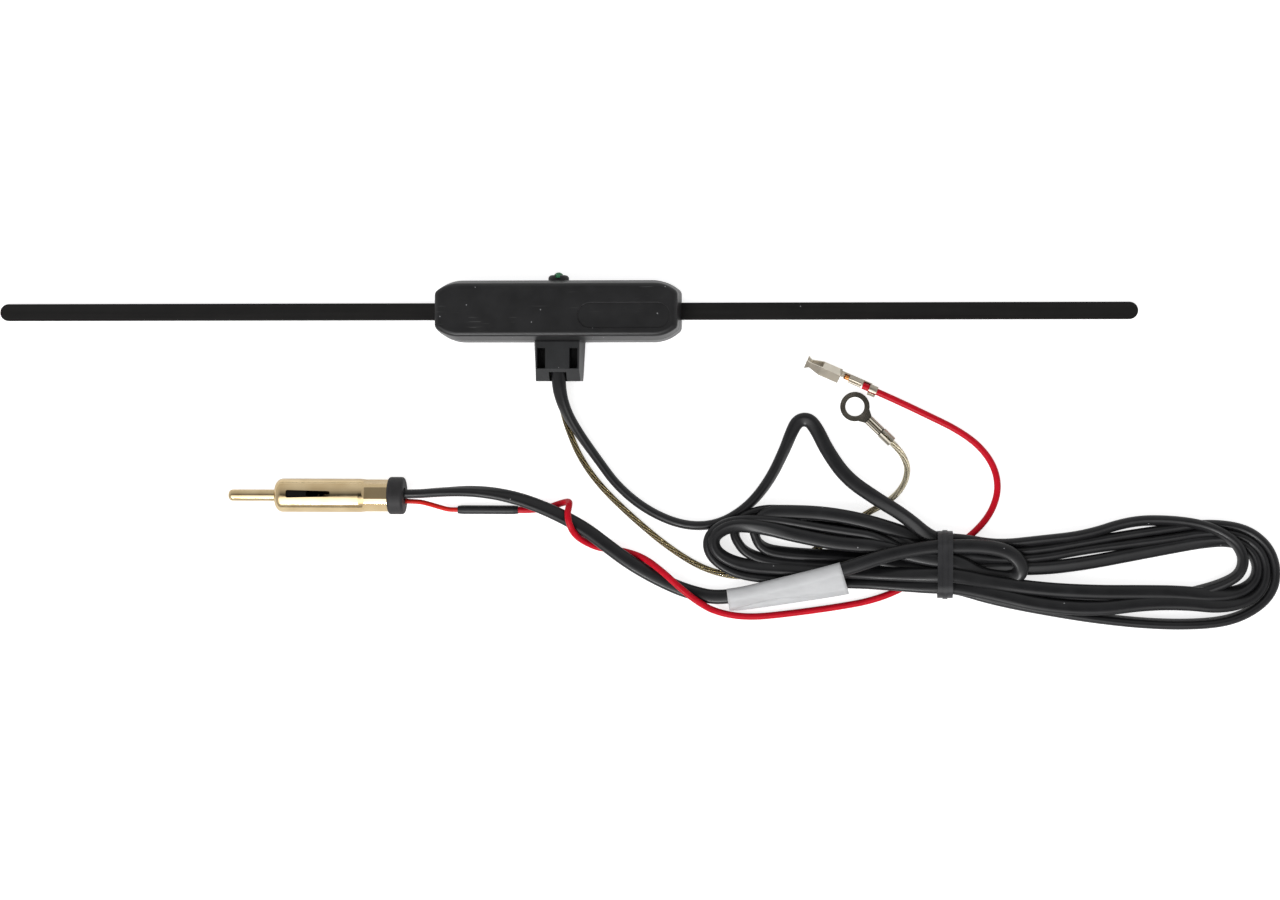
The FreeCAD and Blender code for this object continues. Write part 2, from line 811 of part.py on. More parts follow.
def wire_grip(start, length, wire_diameter, sheet, axis_z):
    """Open ring that grips a wire's jacket, slit along its top."""
    ring = rod(wire_diameter + 2 * sheet, (start, 0, axis_z), AXIS_X, length)
    slit = box((start, -grip_slit / 2, axis_z), (start + length, grip_slit / 2, axis_z + wire_diameter))
    return ring.cut(slit)


def ring_terminal():
    """Eyelet on a neck, with a conductor crimp and a jacket grip."""
    ring = rod(ring_diameter, (0, 0, 0), AXIS_Z, ring_thickness)
    neck_end = ring_grip_start + ring_grip_gap
    neck_half = ring_neck_width / 2
    shoulder_half = ring_shoulder_width / 2
    plan = [(ring_shoulder_x, shoulder_half), (ring_core_start, neck_half), (neck_end, neck_half),
            (neck_end, -neck_half), (ring_core_start, -neck_half), (ring_shoulder_x, -shoulder_half)]
    neck = polygon_face([Vector(x, y, 0) for x, y in plan]).extrude(AXIS_Z * ring_thickness)
    core = core_crimp(ring_core_start, ring_core_length, ring_core_width, ring_core_height, 0)
    grip = wire_grip(ring_grip_start, ring_grip_length, ground_diameter, ring_grip_wall, ring_wire_z)
    bore_diameter = ground_diameter + 2 * grip_clearance
    bore = rod(bore_diameter, (ring_grip_start, 0, ring_wire_z), AXIS_X, ring_grip_length)
    hole = rod(ring_hole_diameter, (0, 0, 0), AXIS_Z, ring_thickness)
    return fused(ring, neck, core, grip).cut([hole, bore])


def placed_ring(shape):
    """Move a shape from the ring terminal's own axes to where it lies."""
    shape.rotate(ORIGIN, AXIS_Z, ring_turn)
    shape.translate(Vector(ring_x, ring_y, 0))
    return shape


def ring_point(along):
    """Point on the ring terminal's wire axis."""
    return placed_ring(Part.Vertex(along, 0, ring_wire_z)).Point


def contact_tongue(side, centre_z):
    """Sprung tongue, as wide as the box at its root, that closes in to a waist and flares at the mouth."""
    half = box_side / 2
    root = box_start + box_sheet
    bend = box_start - box_sheet
    waist = spring_waist / 2
    mouth = spring_mouth / 2
    outline = [(root, half - box_sheet), (root, half), (bend, half), (spring_waist_x, waist + box_sheet),
               (0, mouth + box_sheet), (0, mouth), (spring_waist_x, waist), (bend, half - box_sheet)]
    points = [Vector(x, -half, centre_z + side * z) for x, z in outline]
    strip = polygon_face(points).extrude(AXIS_Y * box_side)
    narrow = spring_width / 2
    plan = [(0, half), (spring_waist_x, narrow), (bend, half), (root, half),
            (root, -half), (bend, -half), (spring_waist_x, -narrow), (0, -half)]
    low_z = centre_z - box_side
    return strip.common(polygon_face([Vector(x, y, low_z) for x, y in plan]).extrude(AXIS_Z * (2 * box_side)))


def box_contact():
    """Sheet-metal contact: two sprung tongues, a square box, a conductor crimp and a jacket grip."""
    floor_z = -red_diameter / 2 - box_sheet
    half = box_side / 2
    centre_z = floor_z + half
    box_end = box_start + box_length
    hollow = half - box_sheet
    outside = box((box_start, -half, centre_z - half), (box_end, half, centre_z + half))
    inside = box((box_start, -hollow, centre_z - hollow), (box_end, hollow, centre_z + hollow))
    seam_depth = box_sheet / 2
    seam = box((box_start, -half, centre_z - box_seam / 2),
               (box_end, -half + seam_depth, centre_z + box_seam / 2))
    square = outside.cut([inside, seam])
    strip = box((box_end - box_sheet, -strip_width / 2, floor_z),
                (box_grip_start + box_sheet, strip_width / 2, floor_z + box_sheet))
    core = core_crimp(box_core_start, box_core_length, box_core_width, box_core_height, floor_z)
    grip = wire_grip(box_grip_start, box_grip_length, red_diameter, box_grip_wall, 0)
    bore_length = box_grip_start + box_grip_length - box_wire_start
    bore = rod(red_diameter + 2 * grip_clearance, (box_wire_start, 0, 0), AXIS_X, bore_length)
    wing_reach = red_diameter / 2 + box_grip_wall + box_wing
    wing = box((box_grip_start, -wing_reach, -box_sheet / 2),
               (box_grip_start + box_grip_length, 0, box_sheet / 2))
    tongues = [contact_tongue(side, centre_z) for side in (-1, 1)]
    contact = fused(square, strip, core, grip, wing, *tongues).cut(bore)
    contact.rotate(ORIGIN, AXIS_X, box_roll)
    return contact


box_axis_z = -box_contact().BoundBox.ZMin


def placed_box(shape):
    """Move a shape from the box contact's own axes to where it lies."""
    shape.rotate(ORIGIN, AXIS_Z, box_turn)
    shape.translate(Vector(box_tip_x, box_tip_y, box_axis_z))
    return shape


def box_point(along):
    """Point on the box contact's wire axis."""
    return placed_box(Part.Vertex(along, 0, 0)).Point


# Routes of the lead and the wires, from end to end

def route(points):
    """Points of one route."""
    return [Vector(*point) for point in points]


lead_housing_route = route([
    (0, inner_wall_y, lead_exit_z), (0.06, -12.0, lead_exit_z), (0.1, -19.5, lead_exit_z), (0.9, -24.0, 4.4),
    (2.7, -28.5, 3.5), (5.9, -33.6, 2.4), (10.5, -40.0, 1.75), (15.9, -47.3, 1.7), (24.0, -53.8, 1.7),
    (33.7, -57.8, 1.7), (42.8, -57.5, 1.7), (50.9, -52.7, 1.7), (56.8, -45.4, 1.7), (60.8, -37.1, 1.7),
    (62.6, -32.4, 1.7), (64.3, -29.3, 1.7), (67.2, -29.0, 1.7), (69.3, -31.6, 1.7), (72.2, -37.6, 1.8),
    (77.3, -44.8, 2.8), (85.5, -50.4, 4.2), (93.0, -54.9, 5.2), (99.4, -60.6, 5.8)])

lead_plug_route = route([
    lead_plug_start(), lead_plug_start() + AXIS_X * bush_length, (-31.5, -48.75, 5.2), (-22.0, -48.4, 4.5),
    (-12.0, -50.0, 4.2), (-2.2, -53.6, 4.1), (7.0, -58.3, 4.2), (13.8, -63.5, 4.3), (19.5, -67.7, 3.9),
    (26.5, -71.8, 2.4), (34.5, -75.4, 1.8), (44.0, -77.4, 2.2), (60.5, -73.3, 4.6), (77.0, -69.0, 6.9),
    (88.0, -65.0, 7.5), (98.0, -63.1, 7.5)])

red_supply_route = route([
    box_point(box_wire_start), box_point(box_grip_start + box_grip_length + wire_tail),
    (92.6, -24.9, 1.0), (99.5, -28.2, 0.9), (106.5, -31.6, 0.9), (112.6, -35.9, 0.9), (116.6, -41.4, 0.9),
    (117.8, -47.4, 0.9), (116.1, -53.4, 0.9), (112.1, -58.6, 1.3), (106.5, -63.0, 2.4), (99.9, -68.4, 2.4),
    (93.0, -74.0, 1.2), (84.5, -77.5, 0.9), (75.0, -79.3, 0.9), (63.4, -81.0, 0.9), (51.0, -82.4, 0.9),
    (42.4, -80.9, 1.6), (37.4, -77.9, 4.2), (33.0, -74.2, 5.9), (28.2, -69.8, 5.6), (23.0, -66.2, 2.9),
    (17.0, -64.4, 0.95), (10.7, -63.9, 0.95), (6.6, -61.9, 2.8), (4.4, -59.9, 5.4), (3.3, -57.2, 7.4),
    (2.8, -54.4, 7.4), (3.2, -52.0, 5.9), (2.9, -51.2, 3.5), (0.6, -51.7, 1.6), (-3.2, -53.1, 1.0),
    (-7.9, sleeve_y, sleeve_z), (sleeve_x + sleeve_length / 2, sleeve_y, sleeve_z)])

red_plug_route = route([
    wire_plug_start(), wire_plug_start() + AXIS_X * bush_length, (-35.4, -52.0, 2.9), (-32.6, -52.9, 1.7),
    (-30.2, sleeve_y, sleeve_z), (sleeve_x - sleeve_length / 2, sleeve_y, sleeve_z)])

ground_route = route([
    (0, inner_wall_y, ground_exit_z), (0.04, -12.0, ground_exit_z), (0.05, -20.2, ground_exit_z),
    (0.5, -24.5, 1.7), (1.3, -28.5, 1.0), (2.6, -32.4, 0.85), (5.3, -39.0, 0.85), (10.7, -46.8, 0.85),
    (19.6, -55.4, 0.85), (29.9, -63.9, 0.85), (39.8, -69.8, 0.85), (50.4, -71.8, 0.85), (61.6, -68.6, 0.85),
    (72.3, -61.9, 0.85), (81.3, -54.9, 0.85), (88.4, -51.2, 0.85), (92.4, -47.2, 0.85), (93.8, -42.6, 0.9),
    (92.6, -38.9, 1.2), ring_point(ring_grip_start + ring_grip_length + wire_tail),
    ring_point(ring_grip_start + ring_grip_gap)])


def arc_path(points):
    """Straight runs joined by tangent arcs, each as large as its two runs allow, with the arcs' radii."""
    edges = []
    radii = []
    last = points[0]
    for before, corner, after in zip(points, points[1:], points[2:]):
        back = (before - corner).normalize()
        ahead = (after - corner).normalize()
        half_turn = (math.pi - back.getAngle(ahead)) / 2
        reach = 0.45 * min((before - corner).Length, (after - corner).Length)
        radius = reach / math.tan(half_turn)
        middle = corner + (back + ahead).normalize() * (math.hypot(radius, reach) - radius)
        start = corner + back * reach
        end = corner + ahead * reach
        edges.append(Part.LineSegment(last, start).toShape())
        edges.append(Part.Arc(start, middle, end).toShape())
        radii.append(radius)
        last = end
    edges.append(Part.LineSegment(last, points[-1]).toShape())
    return Part.Wire(edges), radii


def tube_along(path, points, diameter):
    """Round tube along a path that starts with the first two points."""
    section = Part.Circle(points[0], points[1] - points[0], diameter / 2)
    return path.makePipeShell([Part.Wire(section.toShape())], True, False)


def cord_channel(points, diameter):
    """Room for a cord with clearance all round."""
    path, _ = arc_path(points)
    return tube_along(path, points, diameter + 2 * channel_clearance)


def cord_tube(name, points, diameter):
    """Tube of one cord, printing its length, its volume against section times length, and its bends."""
    path, radii = arc_path(points)
    tube = tube_along(path, points, diameter)
    ratio = tube.Volume / (math.pi * diameter ** 2 / 4 * path.Length)
    bends = " ".join("%.1f" % (radius / diameter) for radius in radii)
    print("%-18s length %.1f  volume ratio %.4f  radii in diameters %s" % (name, path.Length, ratio, bends))
    return tube


# Hank of folded turns, held by the tie

hank_outline = [
    (103.0, -60.5), (91.4, -57.9), (80.8, -55.2), (68.8, -52.9), (56.3, -51.8), (47.4, -53.7),
    (41.3, -57.7), (38.9, -63.1), (42.4, -69.5), (52.8, -73.8), (67.5, -74.3), (83.4, -74.4),
    (103.0, -75.8), (123.1, -78.8), (144.1, -82.4), (163.7, -84.2), (179.3, -82.0), (187.3, -77.7),
    (190.7, -70.9), (188.4, -62.9), (179.5, -56.6), (165.0, -54.3), (149.3, -55.4), (133.6, -58.9),
    (117.8, -60.7)]

hank_right_opening = [
    (126.8, -71.1), (142.8, -67.6), (159.8, -64.4), (171.5, -62.7), (178.2, -63.5), (180.3, -66.9),
    (175.9, -70.4), (159.8, -73.1), (141.5, -73.6)]

hank_left_opening = [
    (43.6, -61.8), (47.2, -58.9), (56.8, -59.8), (74.1, -62.9), (77.6, -64.4), (64.8, -65.8), (47.4, -65.6)]


def rounded_face(outline):
    """Face inside a closed outline whose corners are tangent arcs."""
    points = [Vector(x, y, 0) for x, y in outline]
    join = (points[0] + points[-1]) * 0.5
    path, _ = arc_path([join] + points + [join])
    return Part.Face(path)


def waist_bar(margin, start_x, length):
    """Rounded bar of the hank's section under the tie, grown by margin."""
    side = waist_width / 2 + margin
    bar = box((start_x, waist_y - side, waist_bottom - margin),
              (start_x + length, waist_y + side, waist_height + margin))
    return bar.makeFillet(waist_radius + margin, edges_along_x(bar, length / 2))


def cable_tie():
    """Flat band round the hank's waist, with a ridge along its middle."""
    band = waist_bar(tie_thickness, tie_x - tie_width / 2, tie_width)
    ridge = waist_bar(tie_thickness + tie_ridge, tie_x - tie_ridge_width / 2, tie_ridge_width)
    return fused(band, ridge).cut(waist_bar(tie_clearance, tie_x - tie_width, 2 * tie_width))


def tie_room():
    """Space that the tie takes out of the hank's lobes."""
    start_x = tie_x - tie_width / 2 - channel_clearance
    length = tie_width + 2 * channel_clearance
    slab = box((start_x, waist_y - waist_width, -waist_height),
               (start_x + length, waist_y + waist_width, 2 * waist_height))
    return slab.cut(waist_bar(0, start_x, length))


def lead_hank():
    """Outer shape of the folded turns: two flat lobes with their openings and a tied waist."""
    slab = rounded_face(hank_outline).extrude(AXIS_Z * hank_height)
    slab = slab.makeFillet(hank_edge_radius, edges_at_height(slab, hank_height))
    openings = [rounded_face(outline).extrude(AXIS_Z * hank_height)
                for outline in (hank_right_opening, hank_left_opening)]
    waist = waist_bar(0, waist_start_x, waist_end_x - waist_start_x)
    label_diameter = lead_diameter + 2 * (label_clearance + label_thickness)
    channels = [cord_channel(lead_housing_route[7:13], lead_diameter),
                cord_channel(lead_plug_route[9:15], label_diameter),
                cord_channel(ground_route[8:17], ground_diameter),
                cord_channel(red_supply_route[7:16], red_diameter)]
    hank = fused(slab.cut(openings), waist).cut([tie_room()] + channels)
    return max(hank.Solids, key=lambda solid: solid.Volume)


def flag_label():
    """Paper flag folded round the lead, with its glued flap on the far side."""
    start = lead_plug_route[11]
    along = (lead_plug_route[13] - start).normalize()
    side = along.cross(AXIS_Z).normalize()
    up = side.cross(along)
    inner = lead_diameter / 2 + label_clearance
    outer = inner + label_thickness
    origin = start + along * label_start
    sleeve = rod(2 * outer, origin, along, label_length)
    hollow = rod(2 * inner, origin, along, label_length)
    flap = polygon_face([origin + side * inner, origin + side * (outer + label_flap),
                         origin + side * (outer + label_flap) + up * label_thickness,
                         origin + side * inner + up * label_thickness])
    return fused(sleeve, flap.extrude(along * label_length)).cut(hollow)


def main():
    os.makedirs("parts", exist_ok=True)
    hank = lead_hank()
    nodes = {
        "housing_base": housing_base(),
        "housing_cover": housing_cover(),
        "housing_pad": housing_pad(),
        "cable_clamp": cable_clamp(),
        "left_arm": strip_arm(-1),
        "right_arm": strip_arm(1),
        "left_arm_tape": arm_tape(-1),
        "right_arm_tape": arm_tape(1),
        "left_arm_contact": arm_contact(-1),
        "right_arm_contact": arm_contact(1),
        "circuit_board": circuit_board(),
        "amplifier_transistor": amplifier_transistor(),
        "matching_coil": matching_coil(),
        "capacitors": capacitors(),
        "resistors": resistors(),
        "lamp": lamp(),
        "lamp_holder": lamp_holder(),
        "plug_pin": plug_pin(),
        "plug_insulator": plug_insulator(),
        "plug_shell": plug_shell(),
        "plug_end_bush": plug_end_bush(),
        "splice_sleeve": splice_sleeve(),
        "ring_terminal": placed_ring(ring_terminal()),
        "box_contact": placed_box(box_contact()),
        "cable_tie": cable_tie(),
        "flag_label": flag_label(),
        "lead_hank": hank,
        "lead_housing_run": cord_tube("lead_housing_run", lead_housing_route, lead_diameter).cut(hank),
        "lead_plug_run": cord_tube("lead_plug_run", lead_plug_route, lead_diameter).cut(hank),
        "red_supply_wire": cord_tube("red_supply_wire", red_supply_route, red_diameter),
        "red_plug_wire": cord_tube("red_plug_wire", red_plug_route, red_plug_diameter),
        "ground_wire": cord_tube("ground_wire", ground_route, ground_diameter),
    }
    for name, shape in nodes.items():
        save(name, shape)


main()
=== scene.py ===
import json
import math

import bpy
from mathutils import Matrix, Vector


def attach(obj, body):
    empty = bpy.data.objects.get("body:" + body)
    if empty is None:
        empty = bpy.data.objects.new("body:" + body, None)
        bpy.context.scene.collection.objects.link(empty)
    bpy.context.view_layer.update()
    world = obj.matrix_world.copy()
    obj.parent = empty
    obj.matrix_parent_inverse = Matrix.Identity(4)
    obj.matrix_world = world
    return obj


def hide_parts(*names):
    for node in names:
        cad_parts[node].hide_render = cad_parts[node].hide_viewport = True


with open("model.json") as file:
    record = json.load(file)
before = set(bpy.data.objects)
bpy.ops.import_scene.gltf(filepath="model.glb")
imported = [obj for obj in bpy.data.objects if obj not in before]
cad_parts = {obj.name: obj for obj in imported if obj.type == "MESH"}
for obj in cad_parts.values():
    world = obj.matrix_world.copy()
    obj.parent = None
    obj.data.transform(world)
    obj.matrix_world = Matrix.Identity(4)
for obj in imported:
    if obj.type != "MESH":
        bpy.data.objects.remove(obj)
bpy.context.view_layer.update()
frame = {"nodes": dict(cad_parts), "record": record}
nodes = frame["nodes"]

# Lengths are in millimetres where nothing else is said, and MM turns them into metres
MM = 0.001

# Camera, for a picture of 1280 by 900: focal length in pixels, angles in degrees
IMAGE_WIDTH = 1280
FOCAL_PIXELS = 2593
SENSOR_WIDTH = 36
CAMERA_TARGET = (21.72, -37.35, 0)
CAMERA_DISTANCE = 700
CAMERA_TILT = 4.4
CAMERA_ROLL = 0.12

# Floor: half of its side in metres, its colour and roughness, and its glow to the camera and to mirrored rays
FLOOR_HALF = 10.0
FLOOR_COLOR = (0.8, 0.8, 0.8)
FLOOR_ROUGHNESS = 0.9
FLOOR_GLOW = 0.75
FLOOR_MIRROR = 0.3

# Tent: its level by the height of a direction, from the horizon to nearly straight up
TENT_STOPS = [(0.0, 0.55), (0.22, 0.6), (0.5, 0.55), (0.8, 0.42), (0.94, 0.25), (0.985, 0.03)]

# Tent: how bright its north is against the rest, and the Y of a direction from which it is all as bright
NORTH_LEVEL = 1.25
NORTH_FULL = 0.6

# Tent: how much is taken from its low south, and the Z and Y of a direction between which that fades out
HORIZON_SHADE = 0.85
HORIZON_FADE = (0.03, 0.2)
SOUTH_FADE = (-0.8, -0.4)

# Tent: direction of the bright side's middle, its edge in degrees from there, and its level
BRIGHT_SIDE = (-0.2, -0.58, 0.79)
BRIGHT_EDGE = 31
BRIGHT_LEVEL = 2.5

# Key lamp: place and diameter in metres, and power in watts
KEY_PLACE = (-0.28, -1.2, 0.8)
KEY_SIZE = 0.14
KEY_POWER = 5

# Share of the usual reflection that dull vinyl and mouldings keep
PLASTIC_GLOSS = 0.36

# Dust: radius of a speck, and its colour
DUST_SIZE = 0.17
DUST_COLOR = (0.32, 0.32, 0.33)

# Most of a noise's values lie between these two
NOISE_LOW = 0.3
NOISE_HIGH = 0.7

# Numbers of a Mix node's sockets for colours
MIX_COLORS = (6, 7)
MIX_RESULT = 2

# Where the painted shade on the pin begins inside the plug, and where the contact's box ends
PIN_INSIDE_X = -75.0
CONTACT_BOX_X = 75.6

# Where the red wire changes its colour inside the sleeve, and between which places the strands' tin begins
RED_CHANGE_X = -19.0
TIN_START_X = 82
TIN_FULL_X = 89

# Cords: curve's resolution along a route and round a wire
ROUTE_RESOLUTION = 10
ROUND_RESOLUTION = 4

# Lead: a flat cable, a little waisted; a power below 1 makes its section fuller than an oval
LEAD_WIDTH = 3.9
LEAD_HEIGHT = 2.6
LEAD_FULLNESS = 0.8
LEAD_WAIST = 0.06
LEAD_WAIST_STEEPNESS = 2.6
LEAD_PROFILE_POINTS = 24

# Wires: diameters, and the share that is left of the red one between the plug and the sleeve
RED_DIAMETER = 1.8
RED_PLUG_SHARE = 0.72
GROUND_DIAMETER = 1.7

# Routes: the points that the solids have, apart from the lead's beside the hank, where its turns begin and
# end, and two of the red wire's, which are moved a little where it passes through the tie
LEAD_HOUSING_ROUTE = [
    (0, -6.95, 4.95), (0.06, -12.0, 4.95), (0.1, -19.5, 4.95), (0.9, -24.0, 4.4), (2.7, -28.5, 3.5),
    (5.9, -33.6, 2.4), (10.5, -40.0, 1.75), (15.9, -47.3, 1.7), (24.0, -53.8, 1.7), (33.7, -57.8, 1.7),
    (42.8, -57.5, 1.7), (50.9, -52.7, 1.7), (56.8, -45.4, 1.7), (60.8, -37.1, 1.7), (62.6, -32.4, 1.7),
    (64.3, -29.3, 1.7), (67.2, -29.0, 1.7), (69.3, -31.6, 1.7), (72.2, -37.6, 1.8), (77.3, -44.8, 2.8),
    (85.5, -50.4, 4.2), (93.0, -54.9, 5.2)]

LEAD_PLUG_ROUTE = [
    (-43.7, -49.35, 5.55), (-38.1, -49.35, 5.55), (-31.5, -48.75, 5.2), (-22.0, -48.4, 4.5),
    (-12.0, -50.0, 4.2), (-2.2, -53.6, 4.1), (7.0, -58.3, 4.2), (13.8, -63.5, 4.3), (19.5, -67.7, 3.9),
    (26.5, -71.8, 2.4), (34.5, -75.4, 1.8), (44.0, -77.4, 2.2), (60.5, -73.3, 4.6), (77.0, -69.0, 6.9),
    (88.0, -65.0, 7.2)]

# How far the flat lead is turned on edge at each of its route's points, in degrees
LEAD_HOUSING_TILTS = [0, 0, 10, 40, 60, 75, 85, 85, 85, 85, 85, 80, 70, 60, 45, 30, 15, 5, 0, 0, 10, 30]
LEAD_PLUG_TILTS = [90, 90, 85, 60, 40, 25, 15, 10, 5, 0, 0, 0, 0, 0, 0]

RED_ROUTE = [
    (81.55, -20.0, 1.87), (86.22, -22.03, 1.87), (92.6, -24.9, 1.0), (99.5, -28.2, 0.9),
    (106.5, -31.6, 0.9), (112.6, -35.9, 0.9), (116.6, -41.4, 0.9), (117.8, -47.4, 0.9), (116.1, -53.4, 0.9),
    (112.1, -58.6, 1.3), (105.6, -63.6, 2.0), (100.6, -67.9, 2.0), (93.0, -74.0, 1.2), (84.5, -77.5, 0.9),
    (75.0, -79.3, 0.9), (63.4, -81.0, 0.9), (51.0, -82.4, 0.9), (42.4, -80.9, 1.6), (37.4, -77.9, 4.2),
    (33.0, -74.2, 5.9), (28.2, -69.8, 5.6), (23.0, -66.2, 2.9), (17.0, -64.4, 0.95), (10.7, -63.9, 0.95),
    (6.6, -61.9, 2.8), (4.4, -59.9, 5.4), (3.3, -57.2, 7.4), (2.8, -54.4, 7.4), (3.2, -52.0, 5.9),
    (2.9, -51.2, 3.5), (0.6, -51.7, 1.6), (-3.2, -53.1, 1.0), (-7.9, -53.6, 1.2), (-11.2, -53.6, 1.2)]

RED_PLUG_ROUTE = [
    (-27.6, -53.6, 1.2), (-30.2, -53.6, 1.2), (-32.6, -52.9, 1.7), (-35.4, -52.0, 2.9),
    (-38.1, -51.3, 3.85), (-43.7, -51.3, 3.85)]

GROUND_ROUTE = [
    (0, -6.95, 2.35), (0.04, -12.0, 2.35), (0.05, -20.2, 2.35), (0.5, -24.5, 1.7), (1.3, -28.5, 1.0),
    (2.6, -32.4, 0.85), (5.3, -39.0, 0.85), (10.7, -46.8, 0.85), (19.6, -55.4, 0.85), (29.9, -63.9, 0.85),
    (39.8, -69.8, 0.85), (50.4, -71.8, 0.85), (61.6, -68.6, 0.85), (72.3, -61.9, 0.85), (81.3, -54.9, 0.85),
    (88.4, -51.2, 0.85), (92.4, -47.2, 0.85), (93.8, -42.6, 0.9), (92.6, -38.9, 1.2), (90.07, -35.81, 1.45),
    (86.84, -32.69, 1.45)]

# Hank: where it enters and leaves the tie
TIE_LEFT_X = 100.2
TIE_RIGHT_X = 106.6

# Hank: outermost and innermost line of each lobe
RIGHT_OUTER = [
    (117.0, -62.2), (128.8, -61.0), (140.5, -59.8), (152.2, -55.8), (162.6, -55.4), (172.5, -55.9),
    (182.4, -57.6), (188.4, -62.2), (190.6, -68.2), (189.9, -73.8), (186.2, -78.3), (179.4, -81.9),
    (170.8, -83.2), (158.0, -83.2), (143.4, -81.8), (128.8, -79.5), (117.0, -77.2)]
RIGHT_INNER = [
    (117.0, -68.5), (128.8, -68.7), (140.5, -67.0), (152.2, -64.9), (162.6, -63.0), (171.4, -61.5),
    (177.8, -62.0), (181.0, -64.8), (181.5, -67.7), (180.1, -70.3), (176.6, -72.3), (171.4, -73.6),
    (164.4, -74.3), (155.1, -74.7), (143.4, -74.8), (129.9, -74.2), (117.0, -72.6)]
LEFT_OUTER = [
    (85.6, -72.7), (78.1, -72.5), (70.6, -72.3), (63.1, -71.8), (55.5, -71.3), (48.5, -70.3), (43.0, -67.6),
    (40.2, -64.1), (40.2, -60.0), (43.0, -56.2), (48.0, -54.2), (55.5, -52.8), (63.1, -52.6), (70.6, -53.3),
    (78.1, -54.6), (85.6, -56.6)]
LEFT_INNER = [
    (85.6, -66.4), (78.1, -65.7), (70.6, -65.5), (64.6, -65.2), (60.1, -64.8), (56.6, -63.7), (54.8, -62.4),
    (54.1, -61.4), (53.9, -60.2), (54.6, -59.2), (57.5, -59.0), (62.5, -59.7), (68.4, -60.9), (73.1, -61.8),
    (78.1, -62.4), (85.6, -62.9)]

# Each turn: its lane in the tie on the way right and on the way back, its share of the way from the
# outermost to the innermost line at each of a lobe's points, and its height and tilt in a lobe's first
# part, middle and last part
TURNS = [
    {"right_lane": (-61.2, 4.9),
     "right_shares": [0.05, 0.02, 0, 0, 0.03, 0.2, 0.7, 0.92, 1, 1, 1, 0.95, 0.85, 0.8, 0.8, 0.8, 0.8],
     "right_heights": (3.4, 4.2, 2.0), "right_tilts": (70, 70, 60),
     "left_lane": (-69.6, 4.6),
     "left_shares": [1, 1, 1, 1, 1, 0.95, 0.95, 0.95, 0.93, 0.85, 0.6, 0.15, 0.15, 0.1, 0.08, 0.06],
     "left_heights": (1.9, 2.9, 4.5), "left_tilts": (40, 90, 0)},
    {"right_lane": (-61.8, 2.35),
     "right_shares": [0.38, 0.36, 0.25, 0.41, 0.34, 0.1, 0, 0, 0, 0, 0, 0, 0, 0, 0, 0, 0],
     "right_heights": (2.2, 2.0, 1.9), "right_tilts": (75, 90, 70),
     "left_lane": (-73.5, 2.35),
     "left_shares": [0.65, 0.65, 0.65, 0.65, 0.65, 0.63, 0.61, 0.6, 0.52, 0.4, 0.22, 0.1, 0.22, 0.3,
                     0.34, 0.34],
     "left_heights": (1.95, 3.0, 1.95), "left_tilts": (50, 90, 20)},
    {"right_lane": (-65.6, 4.6),
     "right_shares": [0.68, 0.64, 0.52, 0.68, 0.68, 0.52, 0.38, 0.3, 0.28, 0.27, 0.28, 0.42, 0.65,
                      0.66, 0.34, 0.2, 0.35],
     "right_heights": (2.0, 2.0, 3.9), "right_tilts": (80, 85, 10),
     "left_lane": (-73.5, 4.6),
     "left_shares": [0, 0, 0, 0, 0, 0, 0, 0, 0.02, 0.17, 0.36, 0.52, 0.6, 0.62, 0.62, 0.62],
     "left_heights": (1.95, 3.9, 4.4), "left_tilts": (40, 80, 60)},
    {"right_lane": (-69.6, 2.35),
     "right_shares": [1, 1, 1.03, 1, 0.98, 0.95, 0.74, 0.58, 0.52, 0.53, 0.6, 0.78, 0.95, 1, 1, 1, 1],
     "right_heights": (1.9, 2.0, 3.7), "right_tilts": (25, 80, 5),
     "left_lane": (-70.4, 6.85),
     "left_shares": [0.4, 0.4, 0.4, 0.4, 0.38, 0.3, 0.2, 0.13, 0.13, 0.35, 0.78, 1, 1, 1, 1, 1],
     "left_heights": (3.0, 5.2, 5.6), "left_tilts": (30, 60, 0)},
]

# Last lane in the tie on the way right, and the short end turn after it, which goes back through the tie
LAST_LANE = (-66.5, 6.6)
SMALL_TURN = [
    (112.0, -69.9, 3.4), (117.4, -70.9, 2.4), (121.6, -71.3, 2.7), (123.7, -69.6, 4.3), (123.3, -66.8, 5.6),
    (120.2, -64.0, 6.4), (114.0, -62.7, 6.85), (106.0, -62.7, 6.85), (98.6, -63.0, 6.9)]

# Share of a lobe, round its middle, in which a turn's height and tilt change
LOBE_MIDDLE = 0.5

# Label: where it starts and ends along the lead, its room round the lead, its film and its lowest place
LABEL_START_X = 45.4
LABEL_END_X = 76.9
LABEL_ROOM = 0.14
LABEL_THICKNESS = 0.1
LABEL_LOWEST = 0.3

# Label: its flap's width at its left and right end, how much shorter the flap's upper half is, the share of
# the label's length where that ends, and how much of it is lost along the whole length
LABEL_FLAP = (3.9, 6.8)
LABEL_UPPER_SHORT = 1.9
LABEL_SHORT_END = 0.8
LABEL_SHORT_LOSS = 0.5

# Label: drop of its flap's edge below the lead's axis, how much more it is half-way along, and how far the
# upper half's edge is above that
LABEL_DROP = 0.9
LABEL_SAG = 0.35
LABEL_EDGE_LIFT = 0.45

# Label: drop of the flap's middle line as a share of its edge's, with the upper and the lower half's lift
LABEL_MIDDLE_DROP = 0.55
LABEL_MIDDLE_LIFTS = (0.5, -0.1)

# Label: opening of its round in degrees, the round's points, and its steps along the lead, which are not a
# whole number so that rounding can't add one at the end
LABEL_OPENING = 40
LABEL_ROUND_POINTS = 18
LABEL_STEPS = 39.99

